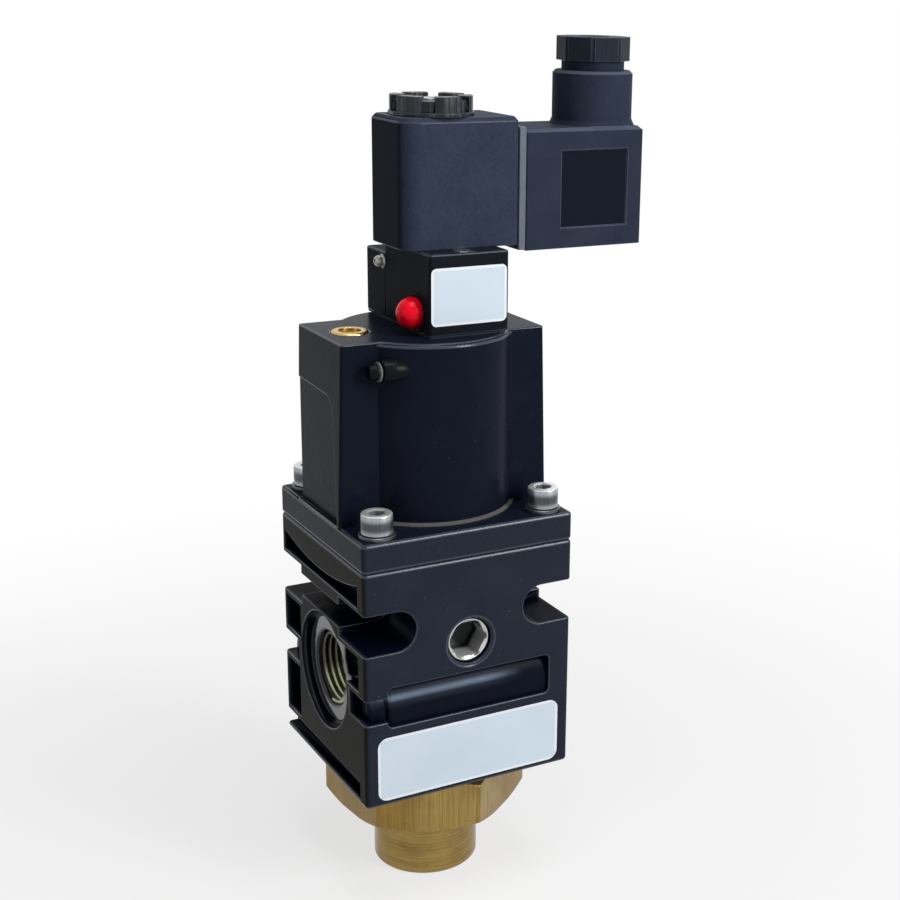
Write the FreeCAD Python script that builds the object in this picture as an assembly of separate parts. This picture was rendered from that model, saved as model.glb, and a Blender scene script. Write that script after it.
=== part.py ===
import FreeCAD, Part
import math
import os

Vector = FreeCAD.Vector
os.makedirs("parts", exist_ok=True)

# Soft start valve, millimetres. Origin at the centre of the exhaust fitting's foot,
# +X towards the outlet port, +Y to the rear, +Z up to the pilot valve.

# Exhaust fitting
BARREL_LENGTH = 20.0
BARREL_RADIUS = 15.0
HEX_FLATS = 50.0
HEX_HEIGHT = 15.0
HEX_TURN = 36.7
HEX_CHAMFER = 2.0
SPIGOT_RADIUS = 16.6
SPIGOT_LENGTH = 12.0
LIP_RADIUS = 12.5
EXHAUST_BORE_RADIUS = 10.9
EXHAUST_THREAD_DEPTH = 15.0

# Valve body
BODY_WIDTH = 62.0
BODY_DEPTH = 58.4
BODY_HEIGHT = 67.0
CORNER_RADIUS = 1.3
CORNER_PAD = 3.0
EDGE_BEVEL = 0.5
PORT_RISE = 29.5
PORT_THREAD_RADIUS = 10.48
PORT_THREAD_DEPTH = 11.0
LEAD = 0.5
PORT_PASSAGE_RADIUS = 9.3
PORT_WALL = 2.1
PORT_FACE_RADIUS = 16.5
PORT_FACE_SINK = 2.3
RING_GROOVE_WIDTH = 1.6
RING_GROOVE_DEPTH = 1.5
PASSAGE_BARREL_RADIUS = 17.6
CHAMBER_RADIUS = 15.0
CHAMBER_WALL = 2.5
SEAT_RADIUS = 9.0
SEAT_WEB = 4.0
INLET_CHAMBER_HEIGHT = 14.0
OUTLET_CHAMBER_HEIGHT = 14.5
DUCT_WIDTH = 14.0
DUCT_HEIGHT = 6.3
SLOT_RISE = 44.0
SLOT_HEIGHT = 11.3
SLOT_INNER_X = 16.0
SLOT_PAD_FRONT = 17.5
SLOT_PAD_REAR = 14.2
SLOT_PAD_HEIGHT = 2.5
SLOT_PAD_STEP = 0.8
WINDOW_WIDTH = 48.8
WINDOW_RISE = 22.6
WINDOW_HEIGHT = 11.4
WINDOW_DEPTH = 15.0
WINDOW_CORNER = 1.5
NOTCH_RISE = 24.4
NOTCH_HEIGHT = 6.9
NOTCH_DEPTH = 10.9
GAUGE_RISE = 42.8
GAUGE_RADIUS = 6.5
GAUGE_PLUG_SINK = 1.6
GAUGE_PLUG_FLOOR = 2.1
POCKET_DEPTH = 5.5
RIM = 1.5
BAND_RISE = 1.3
BAND_HEIGHT = 4.7
BAND_DEPTH = 3.0
FLANGE_POCKET_DEPTH = 3.0
FLANGE_POCKET_RISE = 56.5
FLANGE_POCKET_HEIGHT = 6.0
FLANGE_POCKET_SAG = 3.6

# Bonnet
BONNET_FLANGE = 8.0
BONNET_RISE = 49.0
BONNET_RADIUS = 24.0
LEDGE = 0.9
WING_FRONT = 14.0
WING_REAR = 16.0
WING_DRAFT = 1.5
WING_ROUND = 0.9
PANEL_STEP = 0.45
PISTON_BORE_RADIUS = 15.4
BONNET_CROWN = 9.0

# Bonnet screws
SCREW_X = 24.6
SCREW_Y = 23.6
SCREW_RADIUS = 2.5
SCREW_LENGTH = 16.0
SCREW_HEAD_RADIUS = 4.25
SCREW_HEAD_HEIGHT = 5.0
SCREW_SOCKET_FLATS = 4.0
WASHER_RADIUS = 4.9
WASHER_HEIGHT = 1.0

# Spool
SPOOL_TRAVEL = 5.0
POPPET_RADIUS = 13.0
POPPET_HEIGHT = 3.0
POPPET_SEAL = 2.0
SPRING_POCKET_RADIUS = 10.6
STEM_RADIUS = 4.0
STEM_END_RADIUS = 3.0
PISTON_HEIGHT = 10.0
PISTON_NUT_HEIGHT = 4.5
PISTON_NUT_FLATS = 10.0
PISTON_HEADROOM = 1.5
GUIDE_RADIUS = 10.6
GUIDE_FLANGE_RADIUS = 13.4
GUIDE_FLANGE_HEIGHT = 3.0
GUIDE_SEAL_RISE = 9.0
GUIDE_SEAL_WIDTH = 1.6
BALANCE_RADIUS = 8.6
BALANCE_RISE = 6.0
BALANCE_LENGTH = 20.0
GUIDE_LENGTH = 20.0
RETURN_SPRING_WIRE = 1.6
RETURN_SPRING_RADIUS = 9.6
RETURN_SPRING_TURNS = 6

# Soft start needle
NEEDLE_X = -20.9
NEEDLE_Y = 0.8
BUSH_RADIUS = 5.0
BUSH_LENGTH = 9.0
BUSH_BORE_RADIUS = 3.0
ADJUSTER_SINK = 1.2
ADJUSTER_LENGTH = 4.0
NEEDLE_TRAVEL = 2.0
NEEDLE_RADIUS = 2.2
NEEDLE_LENGTH = 14.0
NEEDLE_TAPER = 4.0
NEEDLE_TAIL = 3.3
NEEDLE_TAIL_RADIUS = 1.2
NEEDLE_CHAMBER = 0.6
ORIFICE_RADIUS = 1.5
PASSAGE_RADIUS = 1.2
PASSAGE_X = 13.4
PASSAGE_RETURN_Y = 11.5
PASSAGE_DROP = 6.5
PASSAGE_RETURN_DROP = 6.0
PASSAGE_SEAL_RADIUS = 1.7
BREATHER_RADIUS = 0.8
BREATHER_X = -14.6
BREATHER_Y = -15.0
BREATHER_RISE = 4.0

# Pilot valve
BLOCK_WIDTH = 23.0
BLOCK_LENGTH = 28.4
BLOCK_HEIGHT = 21.6
BLOCK_X = 5.5
BLOCK_FRONT = -17.0
END_COVER_LENGTH = 13.4
END_COVER_DROP = 3.6
PILOT_GASKET = 0.4
TUBE_X = 2.6
TUBE_RADIUS = 4.5
TUBE_WALL = 0.5
TUBE_FLANGE_RADIUS = 7.0
TUBE_FLANGE_HEIGHT = 6.0
PLUNGER_LENGTH = 18.0
PLUNGER_TRAVEL = 1.0
NOZZLE_RADIUS = 1.8
SUPPLY_X = 12.0
SUPPLY_RADIUS = 1.0
SUPPLY_RISE = 4.6
OUTLET_RADIUS = 0.75
OUTLET_Y = 3.7
OVERRIDE_Y = -9.0
OVERRIDE_RISE = 5.3
BUTTON_RADIUS = 4.3
BUTTON_STRAIGHT = 2.0
BUTTON_TRAVEL = 2.0
BUTTON_STEM_RADIUS = 2.0
BUTTON_STEM_END = 16.5
BUTTON_BORE_END = 20.5
WAIST_RADIUS = 1.2
WAIST_START = 7.5
WAIST_LENGTH = 4.0
OVERRIDE_OUTLET = 9.0
OVERRIDE_SUPPLY = 14.0
COLLAR_RADIUS = 5.2
COLLAR_HEIGHT = 0.9
PILOT_SCREW_RADIUS = 1.5
PILOT_SCREW_HEAD = 2.75

# Coil
COIL_LENGTH = 33.2
COIL_WIDTH = 22.0
COIL_HEIGHT = 33.8
COIL_OVERHANG = 12.6
COIL_ROUND = 5.0
COIL_STEP = 1.2
WINDING_RADIUS = 9.0
WINDING_HEIGHT = 24.0
NUT_RADIUS = 11.3
NUT_RING = 1.3
NUT_HEIGHT = 6.3
NUT_LOBES = 6

# Connector
GASKET = 2.0
PLUG_LENGTH = 36.4
PLUG_HEIGHT = 32.2
PLUG_DROP = 1.8
PLUG_BEVEL = 1.1
PLUG_ROUND = 0.5
PLUG_PANEL = 20.6
NECK_FROM_GASKET = 26.3
NECK_RADIUS = 11.0
NECK_HEIGHT = 14.4
STUB_RADIUS = 8.6
STUB_HEIGHT = 6.6
GLAND_NUT_RADIUS = 10.3
GLAND_NUT_HEIGHT = 6.4
GLAND_NUT_GAP = 3.2
GLAND_NUT_TURN = 14.0
CABLE_RADIUS = 3.6
PIN_THICKNESS = 0.8
PIN_WIDTH = 4.8
PIN_LENGTH = 9.0

# Seals
SEAL_SECTION = 1.8
LOWER_SEAL_RADIUS = 18.4
UPPER_SEAL_RADIUS = 16.6
COIL_SEAL_WIDTH = 1.5

# Fits
THREAD_FIT = 0.05
RUNNING_FIT = 0.05
SEAT_GAP = 0.05
MOULD_FIT = 0.1

# Levels worked out from the sizes above
BODY_BASE = BARREL_LENGTH + HEX_HEIGHT
BODY_TOP = BODY_BASE + BODY_HEIGHT
FLANGE_TOP = BODY_TOP + BONNET_FLANGE
BONNET_TOP = FLANGE_TOP + BONNET_RISE
PORT_Z = BODY_BASE + PORT_RISE
SLOT_Z = BODY_BASE + SLOT_RISE
WEB_BASE = PORT_Z - SEAT_WEB / 2 - 0.5
WEB_TOP = WEB_BASE + SEAT_WEB
POPPET_TOP = WEB_BASE - SEAT_GAP
POPPET_BASE = POPPET_TOP - 2 * POPPET_SEAL - POPPET_HEIGHT
LIP_TOP = POPPET_BASE - SPOOL_TRAVEL - SEAT_GAP
BORE_CEILING = BONNET_TOP - BONNET_CROWN
PISTON_TOP = BORE_CEILING - PISTON_HEADROOM - PISTON_NUT_HEIGHT
PILOT_BASE = BONNET_TOP + PILOT_GASKET
BLOCK_TOP = PILOT_BASE + BLOCK_HEIGHT
OVERRIDE_Z = PILOT_BASE + OVERRIDE_RISE
COIL_TOP = BLOCK_TOP + COIL_HEIGHT
COIL_LEFT = TUBE_X - COIL_OVERHANG
COIL_RIGHT = COIL_LEFT + COIL_LENGTH
PLUG_LEFT = COIL_RIGHT + GASKET
PLUG_BASE = BLOCK_TOP - PLUG_DROP
PLUG_TOP = PLUG_BASE + PLUG_HEIGHT
NECK_X = COIL_RIGHT + GASKET + NECK_FROM_GASKET
NECK_TOP = PLUG_TOP + NECK_HEIGHT
GLAND_BASE = NECK_TOP + GLAND_NUT_GAP
SIDE = BODY_WIDTH / 2
FACE = BODY_DEPTH / 2
BLOCK_LEFT = BLOCK_X - BLOCK_WIDTH / 2
VENT_X = NEEDLE_X + 1.0
VENT_Y = -WING_FRONT - 1.6
VENT_Z = BONNET_TOP - 7.0
NEEDLE_TIP = BONNET_TOP - BUSH_LENGTH + 3.0 - NEEDLE_LENGTH
NEEDLE_MOUTH = NEEDLE_TIP + 0.3


def box(x0, x1, y0, y1, z0, z1):
    return Part.makeBox(x1 - x0, y1 - y0, z1 - z0, Vector(x0, y0, z0))


def post(radius, z0, z1, x=0.0, y=0.0):
    return Part.makeCylinder(radius, z1 - z0, Vector(x, y, z0), Vector(0, 0, 1))


def bar_x(radius, x0, x1, y, z):
    return Part.makeCylinder(radius, x1 - x0, Vector(x0, y, z), Vector(1, 0, 0))


def bar_y(radius, y0, y1, x, z):
    return Part.makeCylinder(radius, y1 - y0, Vector(x, y0, z), Vector(0, 1, 0))


def cone(r0, r1, z0, z1, x=0.0, y=0.0):
    return Part.makeCone(r0, r1, z1 - z0, Vector(x, y, z0), Vector(0, 0, 1))


def turned(profile, x=0.0, y=0.0):
    """A solid of revolution about a vertical axis from (radius, z) points."""
    points = [Vector(r, 0, z) for r, z in profile]
    face = Part.Face(Part.makePolygon(points + points[:1]))
    solid = face.revolve(Vector(0, 0, 0), Vector(0, 0, 1), 360)
    solid.translate(Vector(x, y, 0))
    return solid


def prism(points, direction):
    face = Part.Face(Part.makePolygon(points + points[:1]))
    return face.extrude(direction)


def polygon_post(sides, radius, turn, z0, z1, x=0.0, y=0.0):
    corners = []
    for i in range(sides):
        angle = math.radians(turn + 360.0 * i / sides)
        corners.append(Vector(x + radius * math.cos(angle), y + radius * math.sin(angle), z0))
    return prism(corners, Vector(0, 0, z1 - z0))


def hex_post(flats, z0, z1, x=0.0, y=0.0, turn=0.0):
    return polygon_post(6, flats / math.sqrt(3), turn, z0, z1, x, y)


def union(shapes):
    return shapes[0].multiFuse(shapes[1:]).removeSplitter()


def minus(shape, cuts):
    return shape.cut(Part.makeCompound(cuts)) if cuts else shape


def upright_edges(shape, low, high):
    """Vertical edges that run at least between two levels."""
    found = []
    for edge in shape.Edges:
        box_ = edge.BoundBox
        if box_.XLength < 1e-6 and box_.YLength < 1e-6 and box_.ZMin <= low + 1e-6 and box_.ZMax >= high - 1e-6:
            found.append(edge)
    return found


def rounded_block(x0, x1, y0, y1, z0, z1, radius, bevel=0.0):
    """A block with round upright corners and bevelled top and bottom edges."""
    block = box(x0, x1, y0, y1, z0, z1)
    block = block.makeFillet(radius, upright_edges(block, z0, z1))
    if bevel:
        rims = [e for e in block.Edges if e.BoundBox.ZLength < 1e-6]
        block = block.makeChamfer(bevel, rims)
    return block


def mirror_x(shape):
    return shape.mirror(Vector(0, 0, 0), Vector(1, 0, 0))


def mirror_y(shape):
    return shape.mirror(Vector(0, 0, 0), Vector(0, 1, 0))


def save(name, shape):
    shape.exportStep("parts/" + name + ".step")


def screw_places():
    return [(sx * SCREW_X, sy * SCREW_Y) for sx in (-1, 1) for sy in (-1, 1)]


def stadium_slot(x_in, x_out, y0, y1, z0, z1):
    """A slot along Y whose inner end is a half round."""
    radius = (z1 - z0) / 2
    centre = x_in - radius if x_out < x_in else x_in + radius
    low, high = min(centre, x_out), max(centre, x_out)
    return union([box(low, high, y0, y1, z0, z1), bar_y(radius, y0, y1, centre, z0 + radius)])


def clamp_slot():
    """Left clamp slot, open to front and rear, narrowed by pads half way along."""
    z1 = SLOT_Z + SLOT_HEIGHT
    outer = -SIDE - 1
    ends = [
        stadium_slot(-SLOT_INNER_X, outer, -FACE - 1, -FACE + SLOT_PAD_FRONT, SLOT_Z, z1),
        stadium_slot(-SLOT_INNER_X, outer, FACE - SLOT_PAD_REAR, FACE + 1, SLOT_Z, z1),
    ]
    middle = stadium_slot(-SLOT_INNER_X - SLOT_PAD_STEP, outer, -FACE + SLOT_PAD_FRONT - 1, FACE - SLOT_PAD_REAR + 1,
                          SLOT_Z + SLOT_PAD_HEIGHT, z1 - SLOT_PAD_HEIGHT)
    return union(ends + [middle])


def flange_pocket():
    """Arched pocket cored into the side of the upper flange."""
    z0 = BODY_BASE + FLANGE_POCKET_RISE
    z1 = z0 + FLANGE_POCKET_HEIGHT
    y0 = -FACE + CORNER_PAD + RIM
    y1 = FACE - RIM
    x = -SIDE - 1
    corner = [Vector(x, y0, z0), Vector(x, y0, z1), Vector(x, y1, z1), Vector(x, y1, z0)]
    arch = Part.Arc(corner[1], Vector(x, (y0 + y1) / 2, z1 - FLANGE_POCKET_SAG), corner[2]).toShape()
    sides = [Part.makeLine(corner[0], corner[1]), arch,
             Part.makeLine(corner[2], corner[3]), Part.makeLine(corner[3], corner[0])]
    return Part.Face(Part.Wire(sides)).extrude(Vector(FLANGE_POCKET_DEPTH + 1, 0, 0))


def window(front):
    """Recess that shows the round flow passage, with soft corners."""
    z0 = BODY_BASE + WINDOW_RISE
    half = WINDOW_WIDTH / 2
    opening = box(-half, half, -FACE - 1, -FACE + WINDOW_DEPTH, z0, z0 + WINDOW_HEIGHT)
    corners = [e for e in opening.Edges if e.BoundBox.XLength < 1e-6 and e.BoundBox.ZLength < 1e-6]
    opening = opening.makeFillet(WINDOW_CORNER, corners)
    opening = opening.cut(bar_x(PASSAGE_BARREL_RADIUS, -half - 1, half + 1, 0, PORT_Z))
    return opening if front else mirror_y(opening)


def left_notch():
    """Channel that opens the window to the left side face."""
    z0 = BODY_BASE + NOTCH_RISE
    return box(-SIDE - 1, -WINDOW_WIDTH / 2 + 1, -FACE - 1, -FACE + NOTCH_DEPTH, z0, z0 + NOTCH_HEIGHT)


def side_pockets():
    """Cored pockets round the port of one side face."""
    tube = bar_x(PORT_THREAD_RADIUS + PORT_WALL, -SIDE - 2, 0, 0, PORT_Z)
    x0 = -SIDE - 1
    x1 = -SIDE + POCKET_DEPTH
    top = SLOT_Z - RIM
    above_notch = BODY_BASE + NOTCH_RISE + NOTCH_HEIGHT + RIM
    below_notch = BODY_BASE + NOTCH_RISE - RIM
    front = box(x0, x1, -FACE + CORNER_PAD + RIM, -PORT_THREAD_RADIUS, above_notch, top)
    rear = box(x0, x1, PORT_FACE_RADIUS, FACE - RIM, above_notch, top)
    low = box(x0, x1, PORT_FACE_RADIUS + RIM, FACE - RIM, BODY_BASE + BAND_RISE + BAND_HEIGHT + RIM, below_notch)
    rib = box(x0, x1, FACE - 2 * POCKET_DEPTH, FACE - 2 * POCKET_DEPTH + RIM, BODY_BASE, below_notch)
    rib.translate(Vector(RIM + 1, 0, 0))
    return [front.cut(tube), rear.cut(tube), low.cut(rib)]


def bottom_band():
    z0 = BODY_BASE + BAND_RISE
    return box(-SIDE - 1, -SIDE + BAND_DEPTH, -FACE + CORNER_PAD + RIM, FACE + 1, z0, z0 + BAND_HEIGHT)


def port_cuts():
    """Sunk round port face, its ring groove, the threaded mouth and the passage."""
    edge = -SIDE
    face = edge + PORT_FACE_SINK
    groove = bar_x(PORT_FACE_RADIUS, face - 0.5, face + RING_GROOVE_DEPTH, 0, PORT_Z)
    groove = groove.cut(bar_x(PORT_FACE_RADIUS - RING_GROOVE_WIDTH, face - 1, face + 5, 0, PORT_Z))
    lead = Part.makeCone(PORT_THREAD_RADIUS + LEAD, PORT_THREAD_RADIUS, LEAD, Vector(face, 0, PORT_Z), Vector(1, 0, 0))
    return [
        bar_x(PORT_FACE_RADIUS, edge - 1, face, 0, PORT_Z), groove, lead,
        bar_x(PORT_THREAD_RADIUS, face - 1, face + PORT_THREAD_DEPTH, 0, PORT_Z),
        bar_x(PORT_PASSAGE_RADIUS, face, -CHAMBER_RADIUS - CHAMBER_WALL, 0, PORT_Z),
    ]


def inner_cuts():
    """Vertical chambers, seat, ducts, guide bore and fitting bore."""
    reach = CHAMBER_RADIUS + CHAMBER_WALL + 1
    inner = CHAMBER_RADIUS - 2
    half = DUCT_WIDTH / 2
    spigot_hole = SPIGOT_RADIUS + THREAD_FIT
    guide = GUIDE_RADIUS + THREAD_FIT
    flange = GUIDE_FLANGE_RADIUS + THREAD_FIT
    return [
        post(spigot_hole, BODY_BASE - 1, BODY_BASE + SPIGOT_LENGTH + 0.5),
        post(CHAMBER_RADIUS, WEB_BASE - OUTLET_CHAMBER_HEIGHT, WEB_BASE),
        post(SEAT_RADIUS, WEB_BASE - 1, WEB_TOP + 1),
        post(CHAMBER_RADIUS, WEB_TOP, WEB_TOP + INLET_CHAMBER_HEIGHT),
        post(guide, WEB_TOP, BODY_TOP + 1),
        post(flange, BODY_TOP - GUIDE_FLANGE_HEIGHT, BODY_TOP + 1),
        box(-reach, -inner, -half, half, WEB_TOP, WEB_TOP + DUCT_HEIGHT),
        box(inner, reach, -half, half, WEB_BASE - DUCT_HEIGHT, WEB_BASE),
        seal_groove(BODY_BASE, 1),
        seal_groove(BODY_TOP, -1),
    ]


def seal_groove(level, into):
    radius = LOWER_SEAL_RADIUS if into > 0 else UPPER_SEAL_RADIUS
    z0 = level - 1 if into > 0 else level - SEAL_SECTION
    z1 = level + SEAL_SECTION if into > 0 else level + 1
    return post(radius + SEAL_SECTION, z0, z1).cut(post(radius, z0 - 1, z1 + 1))


def seal_ring(level, into):
    radius = LOWER_SEAL_RADIUS if into > 0 else UPPER_SEAL_RADIUS
    z0 = level if into > 0 else level - SEAL_SECTION
    outer = radius + SEAL_SECTION - MOULD_FIT
    return post(outer, z0, z0 + SEAL_SECTION).cut(post(radius + MOULD_FIT, z0 - 1, z0 + SEAL_SECTION + 1))


def gauge_hole():
    z = BODY_BASE + GAUGE_RISE
    hole = bar_y(GAUGE_RADIUS, -FACE - 1, -CHAMBER_RADIUS - CHAMBER_WALL, 0, z)
    lead = Part.makeCone(GAUGE_RADIUS + 0.7, GAUGE_RADIUS, 0.7, Vector(0, -FACE, z), Vector(0, 1, 0))
    tap = bar_y(ORIFICE_RADIUS, -CHAMBER_RADIUS - CHAMBER_WALL - 1, -CHAMBER_RADIUS + 2, 0, z)
    return union([hole, lead, tap])


def valve_body():
    body = rounded_block(-SIDE, SIDE, -FACE, FACE, BODY_BASE, BODY_TOP, CORNER_RADIUS, EDGE_BEVEL)
    left = [clamp_slot(), flange_pocket(), bottom_band()] + side_pockets() + port_cuts()
    cuts = left + [mirror_x(cut) for cut in left]
    cuts += [window(True), window(False), left_notch(), mirror_y(left_notch())]
    cuts += [gauge_hole(), mirror_y(gauge_hole())]
    cuts += inner_cuts()
    hole = SCREW_RADIUS + THREAD_FIT
    cuts += [post(hole, FLANGE_TOP - SCREW_LENGTH - 1, BODY_TOP + 1, x, y) for x, y in screw_places()]
    cuts += start_passages() + supply_passages() + [passage_seal_grooves()]
    for cut in cuts:
        body = body.cut(cut)
    return body


def start_passages():
    """Soft start by-pass: inlet chamber to the needle, needle to the outlet chamber."""
    level = BODY_TOP - PASSAGE_DROP
    rear = PASSAGE_RETURN_Y
    low = WEB_BASE - PASSAGE_RETURN_DROP
    return [
        post(PASSAGE_RADIUS, WEB_TOP + INLET_CHAMBER_HEIGHT - 1, level, -PASSAGE_X, NEEDLE_Y),
        bar_x(PASSAGE_RADIUS, NEEDLE_X, -PASSAGE_X, NEEDLE_Y, level),
        post(PASSAGE_RADIUS, level, BODY_TOP + 1, NEEDLE_X, NEEDLE_Y),
        post(PASSAGE_RADIUS, level, BODY_TOP + 1, NEEDLE_X, rear),
        bar_x(PASSAGE_RADIUS, NEEDLE_X, -PASSAGE_X, rear, level),
        post(PASSAGE_RADIUS, low, level, -PASSAGE_X, rear),
        bar_x(PASSAGE_RADIUS, -PASSAGE_X, -CHAMBER_RADIUS / 2, rear, low),
    ]


def supply_passages():
    """Pilot supply: from the inlet chamber up into the right wing."""
    level = BODY_TOP - PASSAGE_DROP
    return [
        post(SUPPLY_RADIUS, WEB_TOP + INLET_CHAMBER_HEIGHT - 1, level, PASSAGE_X, 0),
        bar_x(SUPPLY_RADIUS, PASSAGE_X, -NEEDLE_X, 0, level),
        post(SUPPLY_RADIUS, level, BODY_TOP + 1, -NEEDLE_X, 0),
    ]


def passage_places():
    return [(NEEDLE_X, NEEDLE_Y), (NEEDLE_X, PASSAGE_RETURN_Y), (-NEEDLE_X, 0)]


def passage_seal_grooves():
    outer = PASSAGE_SEAL_RADIUS + SEAL_SECTION / 2
    return Part.makeCompound([post(outer, BODY_TOP - SEAL_SECTION / 2, BODY_TOP + 1, x, y) for x, y in passage_places()])


def passage_seals():
    """Three small rings where passages cross from body to bonnet."""
    outer = PASSAGE_SEAL_RADIUS + SEAL_SECTION / 2 - RUNNING_FIT
    rings = []
    for x, y in passage_places():
        ring = post(outer, BODY_TOP - SEAL_SECTION / 2, BODY_TOP, x, y)
        rings.append(ring.cut(post(ORIFICE_RADIUS, BODY_TOP - 3, BODY_TOP + 1, x, y)))
    return Part.makeCompound(rings)


def gauge_plugs():
    """Socket plugs in the front and rear gauge ports."""
    z = BODY_BASE + GAUGE_RISE
    y0 = -FACE + GAUGE_PLUG_SINK
    length = -CHAMBER_RADIUS - CHAMBER_WALL - GAUGE_PLUG_FLOOR - y0
    plug = bar_y(GAUGE_RADIUS - THREAD_FIT, y0, y0 + length, 0, z)
    lead = Part.makeCone(GAUGE_RADIUS - 1, GAUGE_RADIUS - THREAD_FIT, 0.8, Vector(0, y0, z), Vector(0, 1, 0))
    plug = union([plug.cut(bar_y(GAUGE_RADIUS, y0 - 1, y0 + 0.8, 0, z)), lead])
    socket = hex_post(6.0, 0, length / 2)
    socket.rotate(Vector(0, 0, 0), Vector(1, 0, 0), -90)
    socket.translate(Vector(0, y0 - 0.5, z))
    plug = plug.cut(socket)
    return Part.makeCompound([plug, mirror_y(plug)])


def exhaust_fitting():
    """Hexagon adaptor: threaded barrel below, spigot and exhaust seat above."""
    hexagon = hex_post(HEX_FLATS, BARREL_LENGTH, BODY_BASE, turn=HEX_TURN)
    corner = HEX_FLATS / math.sqrt(3)
    flat = HEX_FLATS / 2 + 0.3
    low = cone(flat, corner + 0.3, BARREL_LENGTH, BARREL_LENGTH + HEX_CHAMFER)
    middle = post(corner + 0.3, BARREL_LENGTH + HEX_CHAMFER, BODY_BASE - HEX_CHAMFER)
    high = cone(corner + 0.3, flat, BODY_BASE - HEX_CHAMFER, BODY_BASE)
    hexagon = hexagon.common(union([low, middle, high]))
    barrel = cone(BARREL_RADIUS - 0.8, BARREL_RADIUS, 0, 0.8).fuse(post(BARREL_RADIUS, 0.8, BARREL_LENGTH))
    spigot = post(SPIGOT_RADIUS, BODY_BASE, BODY_BASE + SPIGOT_LENGTH)
    nose = post(LIP_RADIUS, BODY_BASE + SPIGOT_LENGTH, LIP_TOP)
    solid = union([barrel, hexagon, spigot, nose])
    return minus(solid, [
        cone(PORT_THREAD_RADIUS + LEAD, PORT_THREAD_RADIUS, 0, LEAD),
        post(PORT_THREAD_RADIUS, -1, EXHAUST_THREAD_DEPTH),
        post(PORT_PASSAGE_RADIUS - 0.5, -1, BARREL_LENGTH + 1),
        post(EXHAUST_BORE_RADIUS, BARREL_LENGTH, LIP_TOP + 1),
    ])


def stem_guide():
    """Brass bush that guides the balance land, seated in the top of the body."""
    z0 = BODY_TOP - GUIDE_LENGTH
    bore = BALANCE_RADIUS + RUNNING_FIT
    bush = turned([
        (bore, z0), (GUIDE_RADIUS, z0), (GUIDE_RADIUS, BODY_TOP - GUIDE_FLANGE_HEIGHT),
        (GUIDE_FLANGE_RADIUS, BODY_TOP - GUIDE_FLANGE_HEIGHT), (GUIDE_FLANGE_RADIUS, BODY_TOP), (bore, BODY_TOP)])
    low = z0 + GUIDE_SEAL_RISE
    return bush.cut(post(bore + GUIDE_SEAL_WIDTH / 2, low, low + GUIDE_SEAL_WIDTH))


def stem_seal():
    low = BODY_TOP - GUIDE_LENGTH + GUIDE_SEAL_RISE + RUNNING_FIT
    high = low + GUIDE_SEAL_WIDTH - 2 * RUNNING_FIT
    bore = BALANCE_RADIUS + RUNNING_FIT
    ring = post(bore + GUIDE_SEAL_WIDTH / 2 - RUNNING_FIT, low, high)
    return ring.cut(post(bore, low - 1, high + 1))


def stem():
    """Stepped rod that joins poppet and piston, with a land that balances the poppet."""
    low = POPPET_BASE - 3
    shoulder = POPPET_TOP - POPPET_SEAL
    crown = PISTON_TOP + PISTON_NUT_HEIGHT
    land = BODY_TOP - GUIDE_LENGTH + BALANCE_RISE
    return turned([
        (0, low), (STEM_END_RADIUS, low), (STEM_END_RADIUS, shoulder), (STEM_RADIUS, shoulder), (STEM_RADIUS, land),
        (BALANCE_RADIUS, land), (BALANCE_RADIUS, land + BALANCE_LENGTH), (STEM_RADIUS, land + BALANCE_LENGTH),
        (STEM_RADIUS, PISTON_TOP - PISTON_HEIGHT), (STEM_END_RADIUS, PISTON_TOP - PISTON_HEIGHT),
        (STEM_END_RADIUS, crown - 0.5), (STEM_END_RADIUS - 0.5, crown), (0, crown)])


def poppet():
    z0 = POPPET_BASE + POPPET_SEAL
    z1 = z0 + POPPET_HEIGHT
    hub = post(SEAT_RADIUS - 1.2, z1, POPPET_TOP + 2.0)
    disc = union([post(POPPET_RADIUS, z0, z1), hub])
    disc = disc.cut(post(STEM_END_RADIUS + MOULD_FIT, z0 - 1, POPPET_TOP + 3))
    return disc.cut(post(STEM_RADIUS + MOULD_FIT, POPPET_TOP - POPPET_SEAL, POPPET_TOP + 3))


def inlet_seal():
    z0 = POPPET_TOP - POPPET_SEAL
    return post(POPPET_RADIUS, z0, POPPET_TOP).cut(post(SEAT_RADIUS - 1.2 + MOULD_FIT, z0 - 1, POPPET_TOP + 1))


def exhaust_seal():
    z1 = POPPET_BASE + POPPET_SEAL
    return post(POPPET_RADIUS, POPPET_BASE, z1).cut(post(SPRING_POCKET_RADIUS, POPPET_BASE - 1, z1 + 1))


def poppet_nut():
    z1 = POPPET_BASE + POPPET_SEAL
    nut = hex_post(PISTON_NUT_FLATS, POPPET_BASE - 2.5, z1)
    return nut.cut(post(STEM_END_RADIUS + THREAD_FIT, POPPET_BASE - 4, z1 + 1))


def piston():
    """Piston crown with a seal groove and a hollow underside."""
    outer = PISTON_BORE_RADIUS - RUNNING_FIT
    base = PISTON_TOP - PISTON_HEIGHT
    middle = PISTON_TOP - PISTON_HEIGHT / 2
    groove = SEAL_SECTION
    return turned([
        (STEM_END_RADIUS + MOULD_FIT, base), (8, base), (8, base + 3), (outer - 4.5, middle), (outer - 4.5, base),
        (outer, base), (outer, middle - groove), (outer - 2.6, middle - groove), (outer - 2.6, middle + groove),
        (outer, middle + groove), (outer, PISTON_TOP - 0.8), (outer - 0.8, PISTON_TOP),
        (STEM_END_RADIUS + MOULD_FIT, PISTON_TOP)])


def piston_seal():
    outer = PISTON_BORE_RADIUS - RUNNING_FIT
    middle = PISTON_TOP - PISTON_HEIGHT / 2
    half = SEAL_SECTION - MOULD_FIT
    ring = post(outer, middle - half, middle + half)
    return ring.cut(post(outer - 2.6 + MOULD_FIT, middle - half - 1, middle + half + 1))


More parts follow.
